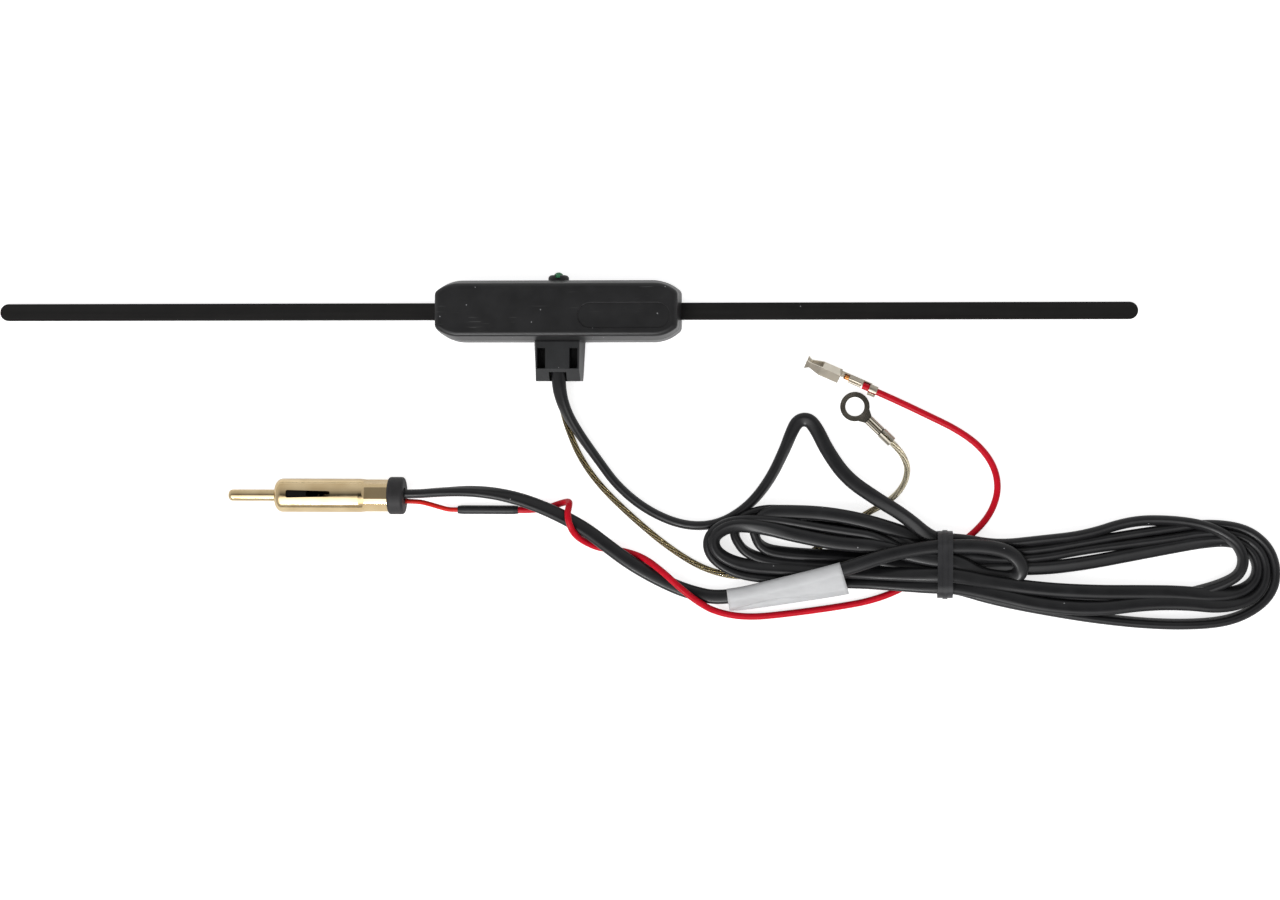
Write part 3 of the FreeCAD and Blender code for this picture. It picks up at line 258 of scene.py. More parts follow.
# Strands: the bundles' diameters, and the ends of the bare stretch at the contact's crimp
GROUND_BUNDLE = 1.62
SUPPLY_BUNDLE = 1.3
SUPPLY_STRANDS = [(76.6, -17.56, 1.58), (78.45, -18.36, 1.58)]

# Strands: a strand's diameter and its ring's radius as shares of the bundle's diameter, their number, the
# length of one twist, the step along them, and a strand's sides
STRAND_SHARE = 0.38
STRAND_RING_SHARE = 0.28
STRAND_COUNT = 6
STRAND_PITCH = 20.0
STRAND_STEP = 0.6
STRAND_SIDES = 6


def metres(point):
    """Point in metres from one in millimetres."""
    return Vector(point) * MM


def link(obj):
    """Show an object in the scene."""
    bpy.context.scene.collection.objects.link(obj)
    return obj


# Cords

def spline_curve(name, points, tilts=None, radii=None):
    """Curve of one open smooth spline; its points' radius turns a section in millimetres into metres."""
    curve = bpy.data.curves.new(name, "CURVE")
    curve.dimensions = "3D"
    curve.resolution_u = ROUTE_RESOLUTION
    curve.twist_mode = "Z_UP"
    curve.use_fill_caps = True
    spline = curve.splines.new("NURBS")
    spline.points.add(len(points) - 1)
    for index, point in enumerate(points):
        spline.points[index].co = (*metres(point), 1)
        if tilts:
            spline.points[index].tilt = tilts[index]
        spline.points[index].radius = MM * (radii[index] if radii else 1)
    spline.order_u = 3
    spline.use_endpoint_u = True
    return link(bpy.data.objects.new(name, curve))


def between(values, share):
    """Smooth value that goes from a start over a middle to an end, and changes only near the middle."""
    start, middle, end = values
    side = start if share < 0.5 else end
    near = max(0, 1 - abs(2 * share - 1) / LOBE_MIDDLE)
    return side + (middle - side) * near * near * (3 - 2 * near)


def lobe(outer, inner, shares, heights, tilts):
    """Points of one turn through a lobe, and their tilts in radians."""
    points = []
    angles = []
    for index, (far, near, share) in enumerate(zip(outer, inner, shares)):
        along = index / (len(outer) - 1)
        x = far[0] + (near[0] - far[0]) * share
        y = far[1] + (near[1] - far[1]) * share
        points.append((x, y, between(heights, along)))
        angles.append(math.radians(between(tilts, along)))
    return points, angles


def lead_route():
    """The whole lead: from the housing, through the hank's turns, to the plug."""
    points = list(LEAD_HOUSING_ROUTE)
    tilts = [math.radians(tilt) for tilt in LEAD_HOUSING_TILTS]
    for turn in TURNS:
        right_points, right_tilts = lobe(
            RIGHT_OUTER, RIGHT_INNER, turn["right_shares"], turn["right_heights"], turn["right_tilts"])
        left_points, left_tilts = lobe(
            LEFT_OUTER, LEFT_INNER, turn["left_shares"], turn["left_heights"], turn["left_tilts"])
        points += [(TIE_LEFT_X, *turn["right_lane"]), (TIE_RIGHT_X, *turn["right_lane"])] + right_points
        points += [(TIE_RIGHT_X, *turn["left_lane"]), (TIE_LEFT_X, *turn["left_lane"])] + left_points
        tilts += [0, 0] + right_tilts + [0, 0] + left_tilts
    points += [(TIE_LEFT_X, *LAST_LANE), (TIE_RIGHT_X, *LAST_LANE)] + SMALL_TURN + LEAD_PLUG_ROUTE[::-1]
    tilts += [0] * (2 + len(SMALL_TURN)) + [math.radians(tilt) for tilt in LEAD_PLUG_TILTS[::-1]]
    return points, tilts


def lead_profile():
    """Section of the flat lead, in millimetres: an oval that is a little waisted between its two cores."""
    curve = bpy.data.curves.new("lead_profile", "CURVE")
    curve.dimensions = "2D"
    spline = curve.splines.new("POLY")
    spline.points.add(LEAD_PROFILE_POINTS - 1)
    for index in range(LEAD_PROFILE_POINTS):
        angle = 2 * math.pi * index / LEAD_PROFILE_POINTS
        across = math.cos(angle)
        x = LEAD_WIDTH / 2 * math.copysign(abs(across) ** LEAD_FULLNESS, across)
        waist = 1 - LEAD_WAIST * math.exp(-(LEAD_WAIST_STEEPNESS * across) ** 2)
        y = LEAD_HEIGHT / 2 * math.sin(angle) * waist
        spline.points[index].co = (x, y, 0, 1)
    spline.use_cyclic_u = True
    profile = link(bpy.data.objects.new("lead_profile", curve))
    profile.hide_render = True
    profile.hide_viewport = True
    return profile


def make_lead():
    """Flat lead on one spline from the housing to the plug."""
    points, tilts = lead_route()
    lead = spline_curve("lead", points, tilts)
    lead.data.bevel_mode = "OBJECT"
    lead.data.bevel_object = lead_profile()
    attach(lead, "root")
    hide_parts("lead_housing_run", "lead_hank", "lead_plug_run")
    return lead


def round_cord(name, points, diameter, radii=None):
    """Round cord along a route."""
    cord = spline_curve(name, points, radii=radii)
    cord.data.bevel_depth = diameter / 2
    cord.data.bevel_resolution = ROUND_RESOLUTION
    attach(cord, "root")
    return cord


def make_red_wire():
    """Red wire from the plug to the box contact, thinner between the plug and the sleeve."""
    points = RED_PLUG_ROUTE[::-1] + RED_ROUTE[::-1]
    radii = [RED_PLUG_SHARE] * len(RED_PLUG_ROUTE) + [1] * len(RED_ROUTE)
    wire = round_cord("red_wire", points, RED_DIAMETER, radii)
    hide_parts("red_supply_wire", "red_plug_wire")
    return wire


def make_ground_wire():
    """Clear jacket of the ground wire, from the housing to the ring terminal."""
    wire = round_cord("ground_wire_jacket", GROUND_ROUTE, GROUND_DIAMETER)
    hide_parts("ground_wire")
    return wire


def spline_points(points):
    """Points read from a route's smooth spline, by a curve that has no bevel."""
    helper = spline_curve("route_line", points)
    mesh = bpy.data.meshes.new_from_object(helper)
    line = [vertex.co.copy() for vertex in mesh.vertices]
    bpy.data.objects.remove(helper)
    bpy.data.meshes.remove(mesh)
    return line


def walk(line, step):
    """Evenly spaced places along a line: point, direction and length so far."""
    places = []
    travelled = 0.0
    next_stop = 0.0
    for first, second in zip(line, line[1:]):
        run = (second - first).length
        while run and next_stop <= travelled + run:
            share = (next_stop - travelled) / run
            places.append((first.lerp(second, share), (second - first) / run, next_stop))
            next_stop += step
        travelled += run
    return places


def mesh_piece(name, vertices, faces):
    """New smooth piece of the object from vertices and faces."""
    mesh = bpy.data.meshes.new(name)
    mesh.from_pydata(vertices, [], faces)
    mesh.polygons.foreach_set("use_smooth", [True] * len(faces))
    mesh.update()
    piece = link(bpy.data.objects.new(name, mesh))
    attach(piece, "root")
    return piece


def label_section(share):
    """Section of the label across the lead: upper flap, round the lead, lower flap."""
    half_width = LEAD_WIDTH / 2 + LABEL_ROOM
    half_height = LEAD_HEIGHT / 2 + LABEL_ROOM
    lower = LABEL_FLAP[0] + (LABEL_FLAP[1] - LABEL_FLAP[0]) * share
    shortening = math.sin(math.pi * min(1, share / LABEL_SHORT_END)) * (1 - LABEL_SHORT_LOSS * share)
    upper = lower - LABEL_UPPER_SHORT * shortening
    edge = -LABEL_DROP - LABEL_SAG * math.sin(math.pi * share)
    upper_middle, lower_middle = (LABEL_MIDDLE_DROP * edge + lift for lift in LABEL_MIDDLE_LIFTS)
    section = [(upper, edge + LABEL_EDGE_LIFT), ((upper + half_width) / 2, upper_middle)]
    for index in range(LABEL_ROUND_POINTS + 1):
        angle = math.radians(LABEL_OPENING / 2 + (360 - LABEL_OPENING) * index / LABEL_ROUND_POINTS)
        section.append((half_width * math.cos(angle), half_height * math.sin(angle)))
    section += [((lower + half_width) / 2, lower_middle), (lower, edge)]
    return section


def label_stretch(line):
    """The lead's points under the label, on its last run, from the plug's side on."""
    stretch = []
    for point in reversed(line):
        if LABEL_START_X * MM <= point.x <= LABEL_END_X * MM:
            stretch.append(point)
        elif stretch:
            break
    return stretch


def make_label(line):
    """Bare flag label that is wrapped round the lead, with its flap towards the red wire."""
    stretch = label_stretch(line)
    length = sum((second - first).length for first, second in zip(stretch, stretch[1:]))
    vertices = []
    faces = []
    for point, ahead, travelled in walk(stretch, length / LABEL_STEPS):
        south = Vector((ahead.y, -ahead.x, 0)).normalized()
        section = label_section(travelled / length)
        for across, height in section:
            spot = point + south * (across * MM)
            spot.z = max(spot.z + height * MM, LABEL_LOWEST * MM)
            vertices.append(spot)
    count = len(section)
    for row in range(len(vertices) // count - 1):
        for column in range(count - 1):
            corner = row * count + column
            faces.append((corner, corner + 1, corner + count + 1, corner + count))
    label = mesh_piece("label", vertices, faces)
    thickness = label.modifiers.new("film", "SOLIDIFY")
    thickness.thickness = LABEL_THICKNESS * MM
    thickness.offset = 1
    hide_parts("flag_label")
    return label


def strand_bundle(name, line, bundle):
    """Twisted strands along a line: one in the middle and the others round it."""
    vertices = []
    faces = []
    places = walk(line, STRAND_STEP * MM)
    thickness = STRAND_SHARE * bundle * MM
    for strand in range(STRAND_COUNT):
        for index, (point, ahead, travelled) in enumerate(places):
            side = ahead.cross(Vector((0, 0, 1))).normalized()
            up = side.cross(ahead)
            angle = 2 * math.pi * (travelled / (STRAND_PITCH * MM) + strand / (STRAND_COUNT - 1))
            reach = STRAND_RING_SHARE * bundle * MM if strand else 0
            middle = point + (side * math.cos(angle) + up * math.sin(angle)) * reach
            for corner in range(STRAND_SIDES):
                around = 2 * math.pi * corner / STRAND_SIDES
                rim = (side * math.cos(around) + up * math.sin(around)) * (thickness / 2)
                vertices.append(middle + rim)
            if index:
                start = len(vertices) - 2 * STRAND_SIDES
                for corner in range(STRAND_SIDES):
                    beside = (corner + 1) % STRAND_SIDES
                    faces.append((start + corner, start + beside, start + STRAND_SIDES + beside,
                                  start + STRAND_SIDES + corner))
        first = len(vertices) - len(places) * STRAND_SIDES
        faces.append(tuple(range(first + STRAND_SIDES - 1, first - 1, -1)))
        faces.append(tuple(range(len(vertices) - STRAND_SIDES, len(vertices))))
    return mesh_piece(name, vertices, faces)


# Parts of materials

def new_material(name, color, roughness, metallic=0.0):
    """Material with plain values on its shader; detail is linked to it afterwards."""
    material = bpy.data.materials.new(name)
    material.use_nodes = True
    shader = material.node_tree.nodes["Principled BSDF"]
    shader.inputs["Base Color"].default_value = (*color, 1)
    shader.inputs["Roughness"].default_value = roughness
    shader.inputs["Metallic"].default_value = metallic
    return material, material.node_tree, shader


def place_mm(tree, stretch=(1, 1, 1)):
    """Place on the object in millimetres, stretched along its axes."""
    coordinates = tree.nodes.new("ShaderNodeTexCoord")
    mapping = tree.nodes.new("ShaderNodeMapping")
    mapping.inputs["Scale"].default_value = [share / MM for share in stretch]
    tree.links.new(coordinates.outputs["Object"], mapping.inputs["Vector"])
    return mapping.outputs["Vector"]


def axis_part(tree, vector, axis):
    """One axis's part of a vector."""
    node = tree.nodes.new("ShaderNodeSeparateXYZ")
    tree.links.new(vector, node.inputs["Vector"])
    return node.outputs[axis]


def noise(tree, where, scale, detail=3.0):
    """Cloudy texture's value."""
    node = tree.nodes.new("ShaderNodeTexNoise")
    node.inputs["Scale"].default_value = scale
    node.inputs["Detail"].default_value = detail
    tree.links.new(where, node.inputs["Vector"])
    return node.outputs["Fac"]


def cells(tree, where, spacing):
    """Texture of cells, each with its own colour and the distance from its middle."""
    node = tree.nodes.new("ShaderNodeTexVoronoi")
    node.inputs["Scale"].default_value = 1 / spacing
    tree.links.new(where, node.inputs["Vector"])
    return node


def ranged(tree, value, low=0, high=1, start=NOISE_LOW, end=NOISE_HIGH):
    """Number between low and high as a texture's value goes from start to end."""
    node = tree.nodes.new("ShaderNodeMapRange")
    node.inputs["From Min"].default_value = start
    node.inputs["From Max"].default_value = end
    node.inputs["To Min"].default_value = low
    node.inputs["To Max"].default_value = high
    tree.links.new(value, node.inputs["Value"])
    return node.outputs["Result"]


def math_node(tree, operation, first, second):
    """Result of an operation on two values; each is a number or another value's socket."""
    node = tree.nodes.new("ShaderNodeMath")
    node.operation = operation
    for socket, value in zip(node.inputs, (first, second)):
        if isinstance(value, (int, float)):
            socket.default_value = value
        else:
            tree.links.new(value, socket)
    return node.outputs["Value"]


def tint(tree, factor, first, second):
    """Colour between two; each is a colour or another colour's socket."""
    node = tree.nodes.new("ShaderNodeMix")
    node.data_type = "RGBA"
    tree.links.new(factor, node.inputs["Factor"])
    for number, color in zip(MIX_COLORS, (first, second)):
        if isinstance(color, tuple):
            node.inputs[number].default_value = (*color, 1)
        else:
            tree.links.new(color, node.inputs[number])
    return node.outputs[MIX_RESULT]


def tint_over(tree, shader, factor, color):
    """Second colour over what already feeds the shader's base colour."""
    base = shader.inputs["Base Color"].links[0].from_socket
    tree.links.new(tint(tree, factor, base, color), shader.inputs["Base Color"])


def two_tone(tree, shader, value, dark, light):
    """Base colour that goes from dark to light with a noise's value."""
    tree.links.new(tint(tree, ranged(tree, value), dark, light), shader.inputs["Base Color"])


def uneven_gloss(tree, shader, value, low, high, start=NOISE_LOW, end=NOISE_HIGH):
    """Roughness between low and high as a texture's value goes from start to end."""
    tree.links.new(ranged(tree, value, low, high, start, end), shader.inputs["Roughness"])


def specks(tree, where, spacing, size, share):
    """Mask of small spots of dust, one in only a share of the cells."""
    grid = cells(tree, where, spacing)
    channels = tree.nodes.new("ShaderNodeSeparateColor")
    tree.links.new(grid.outputs["Color"], channels.inputs["Color"])
    chosen = math_node(tree, "LESS_THAN", channels.outputs["Red"], share)
    near = math_node(tree, "LESS_THAN", grid.outputs["Distance"], size / spacing)
    return math_node(tree, "MULTIPLY", chosen, near)


def bump(tree, shader, height, strength, depth):
    """Relief from a texture's value, depth in millimetres."""
    node = tree.nodes.new("ShaderNodeBump")
    node.inputs["Strength"].default_value = strength
    node.inputs["Distance"].default_value = depth * MM
    tree.links.new(height, node.inputs["Height"])
    tree.links.new(node.outputs["Normal"], shader.inputs["Normal"])


# Black plastics and rubbers

def dusty_plastic(name, dark, light, roughness, grain, relief, dust, dust_spacing=2.4, spread=0.02):
    """Black plastic with cloudy shade, fine grain, and pale dust in a share of its cells."""
    material, tree, shader = new_material(name, dark, roughness)
    shader.inputs["Specular IOR Level"].default_value = PLASTIC_GLOSS
    where = place_mm(tree)
    cloud = noise(tree, where, scale=0.22, detail=4.0)
    two_tone(tree, shader, cloud, dark, light)
    tint_over(tree, shader, specks(tree, where, dust_spacing, DUST_SIZE, dust), DUST_COLOR)
    uneven_gloss(tree, shader, cloud, roughness - spread, roughness + spread)
    bump(tree, shader, noise(tree, where, grain, detail=2.0), relief, depth=0.05)
    return material, tree, shader


def housing_plastic():
    """Satin charcoal moulding with dust and fine scratches along it."""
    material, tree, shader = dusty_plastic(
        "housing_plastic", dark=(0.0155, 0.0155, 0.0162), light=(0.0215, 0.0215, 0.0225), roughness=0.32,
        grain=3.2, relief=0.08, dust=0.45)
    lines = noise(tree, place_mm(tree, stretch=(0.12, 2.6, 1.0)), scale=1.0, detail=2.0)
    zone = noise(tree, place_mm(tree), scale=0.08, detail=1.0)
    thin_lines = ranged(tree, lines, start=0.66, end=0.70)
    scratches = math_node(tree, "MULTIPLY", thin_lines, ranged(tree, zone, start=0.5, end=0.65))
    tint_over(tree, shader, scratches, (0.07, 0.07, 0.07))
    return material


def clamp_plastic():
    """Moulding of the clamp, a little paler than the housing."""
    return dusty_plastic(
        "clamp_plastic", dark=(0.025, 0.026, 0.027), light=(0.033, 0.034, 0.036), roughness=0.36,
        grain=3.2, relief=0.08, dust=0.2)[0]


def arm_plastic():
    """Near-black strip with a faint drawn grain along its length."""
    material, tree, shader = dusty_plastic(
        "arm_plastic", dark=(0.0032, 0.0027, 0.0025), light=(0.0055, 0.0047, 0.0042), roughness=0.40,
        grain=2.0, relief=0.06, dust=0.05)
    lines = noise(tree, place_mm(tree, stretch=(0.03, 3.0, 3.0)), scale=1.0, detail=3.0)
    uneven_gloss(tree, shader, lines, low=0.34, high=0.48)
    return material


def package_black():
    """Moulded package of the transistor and the resistors."""
    return dusty_plastic(
        "package_black", dark=(0.012, 0.012, 0.012), light=(0.02, 0.02, 0.02), roughness=0.5,
        grain=5.0, relief=0.1, dust=0.0)[0]


def ferrite():
    """Grey ferrite of the coil."""
    return dusty_plastic(
        "ferrite", dark=(0.03, 0.03, 0.033), light=(0.05, 0.05, 0.055), roughness=0.6,
        grain=4.0, relief=0.3, dust=0.0)[0]


def holder_plastic():
    """Glossier moulding of the lamp's holder."""
    return dusty_plastic(
        "holder_plastic", dark=(0.012, 0.012, 0.012), light=(0.02, 0.02, 0.02), roughness=0.3,
        grain=3.0, relief=0.06, dust=0.05)[0]


def bush_rubber():
    """Dull rubber of the plug's end bush."""
    return dusty_plastic(
        "bush_rubber", dark=(0.021, 0.020, 0.021), light=(0.033, 0.031, 0.033), roughness=0.55,
        grain=2.5, relief=0.25, dust=0.12)[0]


def sleeve_black():
    """Shrunk tube of the splice sleeve, a little uneven."""
    return dusty_plastic(
        "sleeve_black", dark=(0.016, 0.016, 0.018), light=(0.028, 0.028, 0.030), roughness=0.40,
        grain=1.4, relief=0.3, dust=0.05)[0]


def tie_nylon():
    """Flat tie, paler than the lead; the paler colour is painted sheen."""
    return dusty_plastic(
        "tie_nylon", dark=(0.026, 0.026, 0.028), light=(0.040, 0.040, 0.043), roughness=0.34,
        grain=2.0, relief=0.12, dust=0.12)[0]


def lead_jacket():
    """Soft vinyl of the lead."""
    return dusty_plastic(
        "lead_jacket", dark=(0.011, 0.011, 0.012), light=(0.0165, 0.0165, 0.018), roughness=0.31,
        grain=1.6, relief=0.08, dust=0.16, dust_spacing=3.2)[0]


def insulator_plastic():
    """Dull black moulding inside the plug."""
    material, tree, shader = new_material("insulator_plastic", color=(0.003, 0.003, 0.003), roughness=0.6)
    shader.inputs["Specular IOR Level"].default_value = PLASTIC_GLOSS / 2
    cloud = noise(tree, place_mm(tree), scale=0.9, detail=3.0)
    two_tone(tree, shader, cloud, dark=(0.002, 0.002, 0.002), light=(0.004, 0.004, 0.004))
    bump(tree, shader, cloud, strength=0.1, depth=0.05)
    return material


def foam_tape():
    """Dense foam with open cells at its cut edge."""
    material, tree, shader = new_material("foam_tape", color=(0.03, 0.03, 0.03), roughness=0.85)
    distance = cells(tree, place_mm(tree), spacing=0.25).outputs["Distance"]
    color = tint(tree, distance, first=(0.05, 0.05, 0.05), second=(0.02, 0.02, 0.02))
    tree.links.new(color, shader.inputs["Base Color"])
    bump(tree, shader, distance, strength=0.5, depth=0.12)
    return material


# Metals

def metal(name, dark, light, roughness, stretch, spread=0.08, relief=0.05):
    """Metal with drawn or turned lines, which stretch makes fine or long, and cloudy stains."""
    material, tree, shader = new_material(name, light, roughness, metallic=1.0)
    lines = noise(tree, place_mm(tree, stretch), scale=1.0, detail=1.0)
    cloud = noise(tree, place_mm(tree), scale=0.2, detail=1.0)
    two_tone(tree, shader, cloud, dark, light)
    mixed = math_node(tree, "MULTIPLY", lines, cloud)
    uneven_gloss(tree, shader, mixed, roughness - spread, roughness + spread, start=0.1, end=0.45)
    bump(tree, shader, lines, relief, depth=0.02)
    return material, tree, shader


def plug_nickel():
    """Bright nickel with a warm tint and fine turned rings."""
    return metal(
        "plug_nickel", dark=(0.66, 0.50, 0.28), light=(0.76, 0.60, 0.36), roughness=0.16,
        stretch=(1.2, 0.3, 0.3), spread=0.04, relief=0.01)[0]


def pin_brass():
    """Plated pin, with painted shade that makes it near-black inside the shell."""
    material, tree, shader = metal(
        "pin_brass", dark=(0.58, 0.44, 0.24), light=(0.70, 0.56, 0.34), roughness=0.2,
        stretch=(1.5, 0.3, 0.3), spread=0.05, relief=0.01)
    along = axis_part(tree, place_mm(tree), "X")
    inside = ranged(tree, along, start=PIN_INSIDE_X, end=PIN_INSIDE_X + 1)
    # Painted shade: the pin turns near-black where it lies inside the shell
    tint_over(tree, shader, inside, (0.004, 0.004, 0.004))
    return material


def tinned_metal():
    """Tin-plated sheet with dull patches."""
    return metal(
        "tinned_metal", dark=(0.38, 0.35, 0.29), light=(0.46, 0.42, 0.35), roughness=0.24,
        stretch=(0.5, 0.5, 0.5), spread=0.03, relief=0.0)[0]


def contact_tin():
    """Pale tin on the folded contact's box, with painted shade on its south-facing side, and darker on its
    grips.
    """
    material, tree, shader = metal(
        "contact_tin", dark=(0.80, 0.74, 0.62), light=(0.92, 0.86, 0.74), roughness=0.4,
        stretch=(0.4, 0.4, 0.4), spread=0.05, relief=0.0)
    geometry = tree.nodes.new("ShaderNodeNewGeometry")
    north = ranged(tree, axis_part(tree, geometry.outputs["Normal"], "Y"), start=-0.5, end=-0.2)
    on_box = math_node(tree, "LESS_THAN", axis_part(tree, place_mm(tree), "X"), CONTACT_BOX_X)
    pale = math_node(tree, "MULTIPLY", north, on_box)
    # Painted shade: the darker tint on the box's south-facing faces; the grips get that tint all over
    tint_over(tree, shader, math_node(tree, "SUBTRACT", 1, pale), (0.50, 0.45, 0.37))
    return material


def spring_bronze():
    """Rolled strip of the arm contacts."""
    return metal(
        "spring_bronze", dark=(0.48, 0.30, 0.14), light=(0.66, 0.45, 0.24), roughness=0.28,
        stretch=(0.3, 3.0, 3.0))[0]


def capacitor_can():
    """Drawn aluminium can."""
    return metal(
        "capacitor_can", dark=(0.52, 0.52, 0.54), light=(0.68, 0.68, 0.70), roughness=0.3,
        stretch=(2.5, 2.5, 0.2))[0]


def strand_copper():
    """Strands of the ground wire: copper from the housing on, tinned towards the ring terminal."""
    material, tree, shader = metal(
        "strand_copper", dark=(0.22, 0.18, 0.10), light=(0.30, 0.25, 0.14), roughness=0.18,
        stretch=(0.4, 0.4, 0.4), spread=0.03, relief=0.0)
    tinned = ranged(tree, axis_part(tree, place_mm(tree), "X"), start=TIN_START_X, end=TIN_FULL_X)
    tint_over(tree, shader, tinned, (0.66, 0.62, 0.52))
    return material


def bare_copper():
    """Copper strands that show between the contact's grips."""
    return metal(
        "bare_copper", dark=(0.62, 0.24, 0.07), light=(0.80, 0.36, 0.13), roughness=0.3,
        stretch=(0.5, 0.5, 0.5))[0]


# Other materials

def lamp_green():
    """Tinted clear resin of the lamp."""
    material, tree, shader = new_material("lamp_green", color=(0.06, 0.36, 0.15), roughness=0.12)
    shader.inputs["Transmission Weight"].default_value = 0.45
    shader.inputs["IOR"].default_value = 1.5
    cloud = noise(tree, place_mm(tree), scale=0.8, detail=2.0)
    two_tone(tree, shader, cloud, dark=(0.04, 0.26, 0.11), light=(0.09, 0.46, 0.20))
    uneven_gloss(tree, shader, cloud, low=0.08, high=0.2)
    return material


def board_laminate():
    """Coated laminate with the weave of its glass cloth showing through."""
    material, tree, shader = new_material("board_laminate", color=(0.02, 0.12, 0.05), roughness=0.35)
    weave = tree.nodes.new("ShaderNodeTexBrick")
    weave.inputs["Scale"].default_value = 1.6
    weave.inputs["Color1"].default_value = (0.022, 0.13, 0.055, 1)
    weave.inputs["Color2"].default_value = (0.016, 0.10, 0.042, 1)
    weave.inputs["Mortar"].default_value = (0.03, 0.16, 0.07, 1)
    tree.links.new(place_mm(tree), weave.inputs["Vector"])
    tree.links.new(weave.outputs["Color"], shader.inputs["Base Color"])
    bump(tree, shader, weave.outputs["Fac"], strength=0.15, depth=0.03)
    return material


def red_jacket():
    """Red vinyl, more orange on the thin wire between the plug and the sleeve."""
    material, tree, shader = new_material("red_jacket", color=(0.55, 0.006, 0.02), roughness=0.34)
    shader.inputs["Specular IOR Level"].default_value = PLASTIC_GLOSS / 2
    where = place_mm(tree)
    cloud = noise(tree, where, scale=0.25, detail=3.0)
    two_tone(tree, shader, cloud, dark=(0.58, 0.002, 0.014), light=(0.68, 0.003, 0.020))
    near_plug = math_node(tree, "LESS_THAN", axis_part(tree, where, "X"), RED_CHANGE_X)
    tint_over(tree, shader, near_plug, color=(0.78, 0.02, 0.012))
    uneven_gloss(tree, shader, cloud, low=0.28, high=0.42)
    bump(tree, shader, noise(tree, where, scale=2.0, detail=2.0), strength=0.06, depth=0.05)
    return material


def clear_jacket():
    """Clear vinyl, a little yellow and cloudy."""
    material, tree, shader = new_material("clear_jacket", color=(0.93, 0.90, 0.80), roughness=0.12)
    shader.inputs["Transmission Weight"].default_value = 1.0
    shader.inputs["IOR"].default_value = 1.35
    cloud = noise(tree, place_mm(tree), scale=0.2, detail=1.0)
    uneven_gloss(tree, shader, cloud, low=0.02, high=0.08)
    return material


def label_film():
    """Plain pale film with soft creases."""
    material, tree, shader = new_material("label_film", color=(0.48, 0.485, 0.495), roughness=0.45)
    crease = noise(tree, place_mm(tree, stretch=(0.5, 1.0, 1.0)), scale=0.35, detail=3.0)
    two_tone(tree, shader, crease, dark=(0.56, 0.565, 0.575), light=(0.64, 0.645, 0.655))
    uneven_gloss(tree, shader, crease, low=0.38, high=0.55)
    bump(tree, shader, crease, strength=0.25, depth=0.25)
    return material


def put_on(piece, material):
    """One material all over a piece."""
    piece.data.materials.clear()
    piece.data.materials.append(material)


def dress():
    """Make the materials of the record's slots, and give each node its own."""
    materials = {}
    for make in (package_black, ferrite, holder_plastic, bush_rubber, sleeve_black, tie_nylon, lead_jacket,
                 housing_plastic, arm_plastic, foam_tape, plug_nickel, pin_brass, tinned_metal,
                 spring_bronze, capacitor_can, lamp_green, board_laminate, red_jacket, clear_jacket,
                 insulator_plastic):
        materials[make.__name__] = make()
    for entry in frame["record"]["subparts"]:
        slot = entry["material_slot"]
        if slot in materials:
            put_on(nodes[entry["node"]], materials[slot])
    return materials


# Stage

def make_camera():
    """Camera almost straight above the object, a little to its right."""
    tilt = math.radians(CAMERA_TILT)
    back = Vector((math.sin(tilt), 0, math.cos(tilt))).normalized()
    right = Vector((0, 1, 0)).cross(back).normalized()
    up = back.cross(right)
    data = bpy.data.cameras.new("camera")
    data.sensor_fit = "HORIZONTAL"
    data.sensor_width = SENSOR_WIDTH
    data.lens = FOCAL_PIXELS / IMAGE_WIDTH * SENSOR_WIDTH
    camera = link(bpy.data.objects.new("camera", data))
    turn = Matrix((right, up, back)).transposed() @ Matrix.Rotation(math.radians(CAMERA_ROLL), 3, "Z")
    place = metres(CAMERA_TARGET) + back * (CAMERA_DISTANCE * MM)
    camera.matrix_world = Matrix.Translation(place) @ turn.to_4x4()
    bpy.context.scene.camera = camera


def make_floor():
    """White paper that keeps the soft shadow; its glow shows to the camera, in metal and through vinyl."""
    mesh = bpy.data.meshes.new("floor")
    half = FLOOR_HALF
    corners = [(-half, -half, 0), (half, -half, 0), (half, half, 0), (-half, half, 0)]
    mesh.from_pydata(corners, [], [(0, 1, 2, 3)])
    floor = link(bpy.data.objects.new("floor", mesh))
    material, tree, shader = new_material("floor_paper", FLOOR_COLOR, FLOOR_ROUGHNESS)
    shader.inputs["Specular IOR Level"].default_value = 0.0
    shader.inputs["Emission Color"].default_value = (1, 1, 1, 1)
    path = tree.nodes.new("ShaderNodeLightPath")
    seen = math_node(tree, "MAXIMUM", path.outputs["Is Camera Ray"], path.outputs["Is Transmission Ray"])
    direct = math_node(tree, "MULTIPLY", seen, FLOOR_GLOW)
    mirrored = math_node(tree, "MULTIPLY", path.outputs["Is Glossy Ray"], FLOOR_MIRROR)
    tree.links.new(math_node(tree, "MAXIMUM", direct, mirrored), shader.inputs["Emission Strength"])
    mesh.materials.append(material)


def make_key_lamp():
    """Soft lamp that faces the middle of the object."""
    data = bpy.data.lights.new("key", "AREA")
    data.shape = "DISK"
    data.size = KEY_SIZE
    data.energy = KEY_POWER
    lamp = link(bpy.data.objects.new("key", data))
    lamp.location = KEY_PLACE
    lamp.rotation_euler = (metres(CAMERA_TARGET) - Vector(KEY_PLACE)).to_track_quat("-Z", "Y").to_euler()


def tent_ramp(tree, height):
    """Level of the tent by the height of a direction."""
    ramp = tree.nodes.new("ShaderNodeValToRGB")
    tree.links.new(height, ramp.inputs["Fac"])
    stops = ramp.color_ramp.elements
    while len(stops) < len(TENT_STOPS):
        stops.new(0.5)
    for stop, (position, level) in zip(stops, TENT_STOPS):
        stop.position = position
        stop.color = (level, level, level, 1)
    return ramp.outputs["Color"]


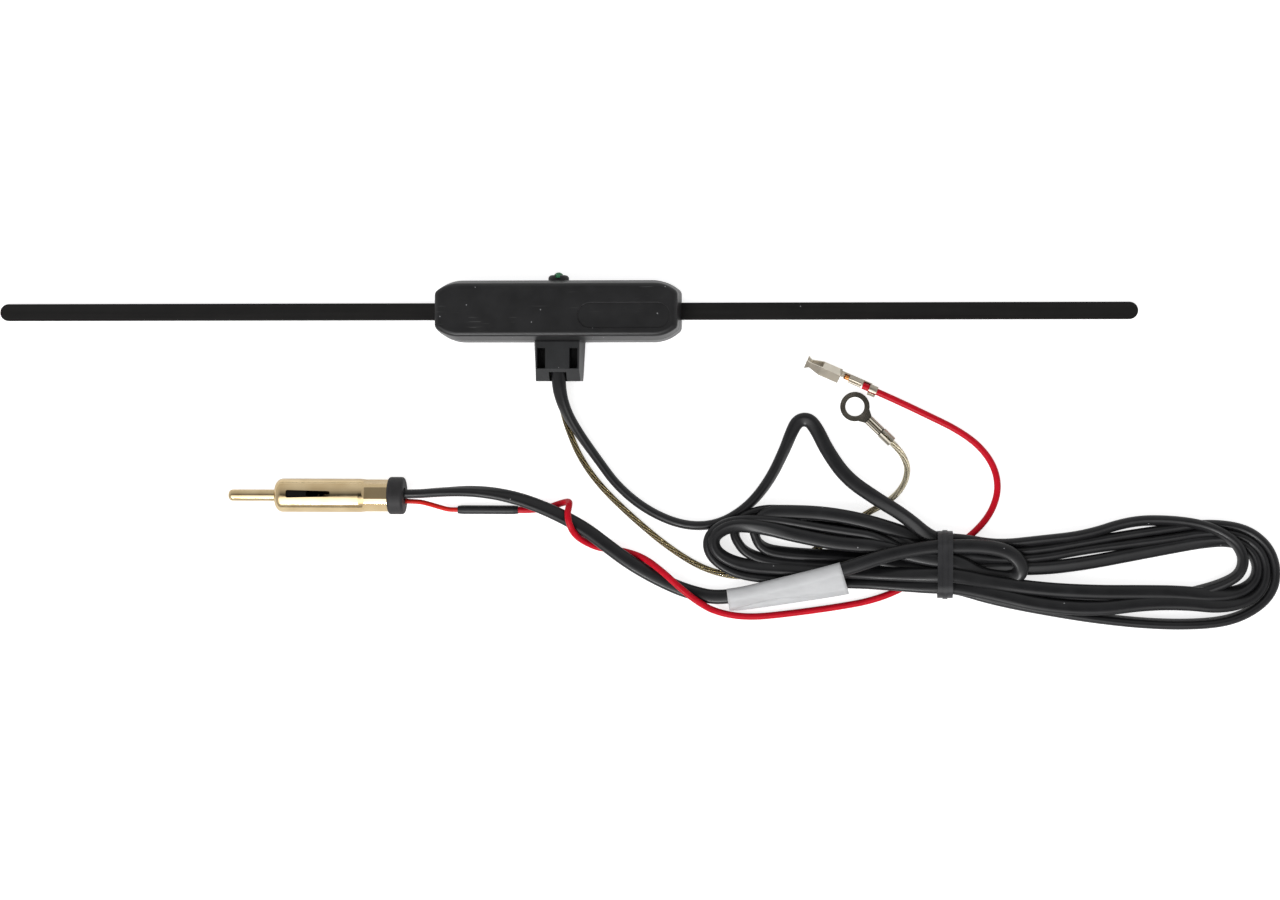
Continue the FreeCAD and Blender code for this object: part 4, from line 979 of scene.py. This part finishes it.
def bright_side(tree, direction):
    """Level of the bright side, which fades towards its edge."""
    toward = tree.nodes.new("ShaderNodeVectorMath")
    toward.operation = "DOT_PRODUCT"
    toward.inputs[1].default_value = Vector(BRIGHT_SIDE).normalized()
    tree.links.new(direction, toward.inputs[0])
    edge = math.cos(math.radians(BRIGHT_EDGE))
    return ranged(tree, toward.outputs["Value"], high=BRIGHT_LEVEL, start=edge, end=1)


def make_world():
    """Pale tent with a soft bright side, which darkens overhead and is white to the camera."""
    world = bpy.data.worlds.new("studio")
    world.use_nodes = True
    tree = world.node_tree
    direction = tree.nodes.new("ShaderNodeTexCoord").outputs["Generated"]
    height = axis_part(tree, direction, "Z")
    north = axis_part(tree, direction, "Y")
    north_level = ranged(tree, north, 1, NORTH_LEVEL, start=0, end=NORTH_FULL)
    tent = math_node(tree, "MULTIPLY", tent_ramp(tree, height), north_level)
    low = ranged(tree, height, HORIZON_SHADE, 0, *HORIZON_FADE)
    shade = math_node(tree, "MULTIPLY", low, ranged(tree, north, 1, 0, *SOUTH_FADE))
    tent = math_node(tree, "MULTIPLY", tent, math_node(tree, "SUBTRACT", 1, shade))
    light = math_node(tree, "ADD", tent, bright_side(tree, direction))
    path = tree.nodes.new("ShaderNodeLightPath")
    level = math_node(tree, "MAXIMUM", light, path.outputs["Is Camera Ray"])
    tree.links.new(level, tree.nodes["Background"].inputs["Strength"])
    tree.nodes["Background"].inputs["Color"].default_value = (1, 1, 1, 1)
    bpy.context.scene.world = world


bpy.context.scene.view_settings.view_transform = "Standard"
make_camera()
make_floor()
make_world()
make_key_lamp()

lead = make_lead()
red_wire = make_red_wire()
ground_wire = make_ground_wire()
label = make_label(spline_points(lead_route()[0]))
ground_strands = strand_bundle(
    "ground_strands", spline_points(GROUND_ROUTE), GROUND_BUNDLE)
supply_strands = strand_bundle(
    "supply_strands", [metres(point) for point in SUPPLY_STRANDS], SUPPLY_BUNDLE)

materials = dress()
put_on(lead, materials["lead_jacket"])
put_on(red_wire, materials["red_jacket"])
put_on(ground_wire, materials["clear_jacket"])
put_on(label, label_film())
put_on(nodes["box_contact"], contact_tin())
put_on(nodes["cable_clamp"], clamp_plastic())
put_on(ground_strands, strand_copper())
put_on(supply_strands, bare_copper())
